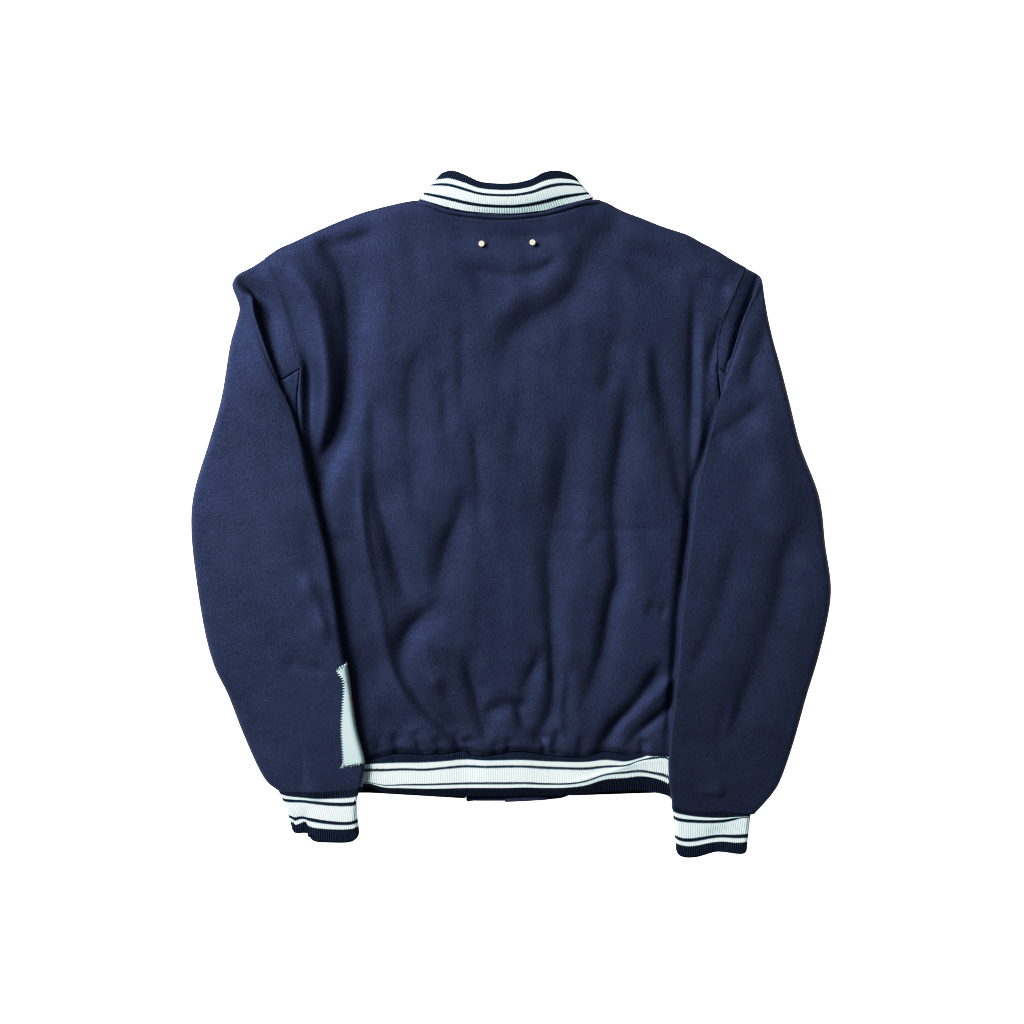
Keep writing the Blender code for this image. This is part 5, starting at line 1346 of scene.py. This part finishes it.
# lines across a cuff's upper face from its inner edge, with their level down the cuff and their heights
Across = namedtuple("Across", "level inner middle outer places")
CUFF_LINES = {
    -1: [
        Across(0.0, 0.0218, 0.0158, 0.0120,
               [(-0.1706, -0.3062), (-0.1808, -0.3085), (-0.1944, -0.3107), (-0.2170, -0.3124),
                (-0.2396, -0.3124), (-0.2576, -0.3107), (-0.2656, -0.3091)]),
        Across(0.008, 0.0212, 0.0158, 0.0120,
               [(-0.1742, -0.3170), (-0.1811, -0.3192), (-0.1977, -0.3204), (-0.2226, -0.3205),
                (-0.2415, -0.3195), (-0.2528, -0.3182), (-0.2624, -0.3158)]),
        Across(0.0145, 0.0200, 0.0150, 0.0116,
               [(-0.1759, -0.3243), (-0.1814, -0.3263), (-0.1977, -0.3268), (-0.2164, -0.3256),
                (-0.2352, -0.3235), (-0.2528, -0.3230), (-0.2600, -0.3215)]),
        Across(0.0375, 0.0158, 0.0132, 0.0108,
               [(-0.1748, -0.3456), (-0.1808, -0.3479), (-0.1912, -0.3487), (-0.2076, -0.3475),
                (-0.2226, -0.3452), (-0.2327, -0.3437), (-0.2390, -0.3425), (-0.2452, -0.3442),
                (-0.2484, -0.3425), (-0.2531, -0.3408)]),
        Across(0.045, 0.0146, 0.0126, 0.0104,
               [(-0.1737, -0.3520), (-0.1811, -0.3543), (-0.1975, -0.3550), (-0.2164, -0.3540),
                (-0.2294, -0.3518), (-0.2341, -0.3469), (-0.2440, -0.3504), (-0.2469, -0.3484),
                (-0.2515, -0.3465)]),
        Across(0.059, 0.0122, 0.0118, 0.0098,
               [(-0.1732, -0.3605), (-0.1752, -0.3656), (-0.1811, -0.3697), (-0.1912, -0.3710),
                (-0.2164, -0.3705), (-0.2245, -0.3688), (-0.2279, -0.3650), (-0.2302, -0.3602),
                (-0.2441, -0.3604), (-0.2477, -0.3576), (-0.2497, -0.3526)]),
    ],
    1: [
        Across(0.0, 0.0178, 0.0150, 0.0122,
               [(0.1802, -0.3268), (0.1932, -0.3322), (0.2023, -0.3344), (0.2147, -0.3352),
                (0.2396, -0.3354), (0.2588, -0.3370), (0.2706, -0.3382)]),
        Across(0.008, 0.0172, 0.0150, 0.0120,
               [(0.1820, -0.3354), (0.1871, -0.3372), (0.1989, -0.3396), (0.2170, -0.3418),
                (0.2373, -0.3426), (0.2531, -0.3418), (0.2700, -0.3410)]),
        Across(0.0122, 0.0168, 0.0149, 0.0119,
               [(0.1824, -0.3396), (0.1921, -0.3428), (0.2170, -0.3446), (0.2362, -0.3443),
                (0.2475, -0.3430), (0.2576, -0.3421), (0.2698, -0.3413)]),
        Across(0.0169, 0.0160, 0.0145, 0.0116,
               [(0.1829, -0.3440), (0.1921, -0.3468), (0.2170, -0.3483), (0.2362, -0.3479),
                (0.2475, -0.3461), (0.2576, -0.3433), (0.2697, -0.3420)]),
        Across(0.0375, 0.0132, 0.0128, 0.0108,
               [(0.1842, -0.3634), (0.1896, -0.3663), (0.1971, -0.3676), (0.2084, -0.3668),
                (0.2210, -0.3647), (0.2373, -0.3631), (0.2523, -0.3637), (0.2672, -0.3631)]),
        Across(0.045, 0.0126, 0.0124, 0.0104,
               [(0.1850, -0.3703), (0.1896, -0.3726), (0.1984, -0.3741), (0.2084, -0.3735),
                (0.2210, -0.3710), (0.2373, -0.3691), (0.2523, -0.3705), (0.2667, -0.3697)]),
        Across(0.059, 0.0116, 0.0118, 0.0098,
               [(0.1857, -0.3785), (0.1877, -0.3841), (0.1927, -0.3870), (0.1997, -0.3879),
                (0.2097, -0.3870), (0.2223, -0.3835), (0.2323, -0.3810), (0.2398, -0.3816),
                (0.2523, -0.3835), (0.2599, -0.3839), (0.2643, -0.3819), (0.2660, -0.3769)]),
    ],
}
CUFF_FOLDS = [
    Fold("pleat of the left cuff",
         [(-0.2340, -0.3300), (-0.2325, -0.3480), (-0.2310, -0.3640)], (0.0035, 0.0035), -0.0024),
    Fold("second pleat of the left cuff",
         [(-0.2450, -0.3380), (-0.2455, -0.3520)], (0.0025, 0.0025), -0.0016),
    Fold("shallow valley of the right cuff",
         [(0.2260, -0.3500), (0.2300, -0.3700), (0.2350, -0.3850)], (0.0100, 0.0100), -0.0020),
]
for side in (-1, 1):
    cuff_lines = []
    for across_cuff in CUFF_LINES[side]:
        t = np.linspace(0, 1, 60)
        top = height_across(across_cuff.inner, across_cuff.middle, across_cuff.outer, t)
        cuff_lines.append(np.column_stack([at_shares(across_cuff.places, t), top]))
    rings, levels = tube(cuff_lines, CUFF_FOLDS, 30, under_sleeve,
                         [across_cuff.level for across_cuff in CUFF_LINES[side]])
    if side > 0:
        rings, levels = rings[::-1], levels[::-1]
    cuff = cloth("cuff_knit_" + SIDE_NAMES[side], [ribbed(rings, levels)], KNIT,
                 striped_knit("cuff_stripes_" + SIDE_NAMES[side], CUFF_STRIPES, CUFF))
    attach(cuff, "root")
    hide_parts("cuff_" + SIDE_NAMES[side])

# ---------------------------------------------------------------- studs and snaps
# Two small round brass studs on the back below the collar, and seven enamelled snap caps down the closure,
# pressed through the cloth.


def fine_grained(name, scale, detail, dark, light, roughness):
    """A hard material whose colour and roughness vary with a fine grain."""
    made = bpy.data.materials.new(name)
    made.use_nodes = True
    tree = made.node_tree
    shader = tree.nodes["Principled BSDF"]
    place = node(tree, "ShaderNodeTexCoord", (-900, 0)).outputs["Object"]
    grain = noise(tree, (-700, 0), place, Scale=scale, Detail=detail)
    colour = node(tree, "ShaderNodeMix", (-300, 250), data_type="RGBA", Factor=grain, A=dark, B=light)
    feed(tree, shader.inputs["Base Color"], colour.outputs["Result"])
    feed(tree, shader.inputs["Roughness"], ranged(tree, (-450, -100), grain, (0.0, 1.0), roughness))
    return made


brass = fine_grained("brushed_brass", 1500.0, 2.0, (0.86, 0.76, 0.46, 1), (0.98, 0.92, 0.68, 1),
                     roughness=(0.22, 0.45))
brass.node_tree.nodes["Principled BSDF"].inputs["Metallic"].default_value = 0.5
for name in ("back_stud_left", "back_stud_right"):
    nodes[name].material_slots[0].material = brass

enamel = fine_grained("navy_enamel", 700.0, 3.0, (0.010, 0.014, 0.032, 1), (0.018, 0.024, 0.050, 1),
                      roughness=(0.28, 0.42))
enamel.node_tree.nodes["Principled BSDF"].inputs["Coat Weight"].default_value = 0.4
for number in range(1, 8):
    nodes[f"snap_{number}"].material_slots[0].material = enamel
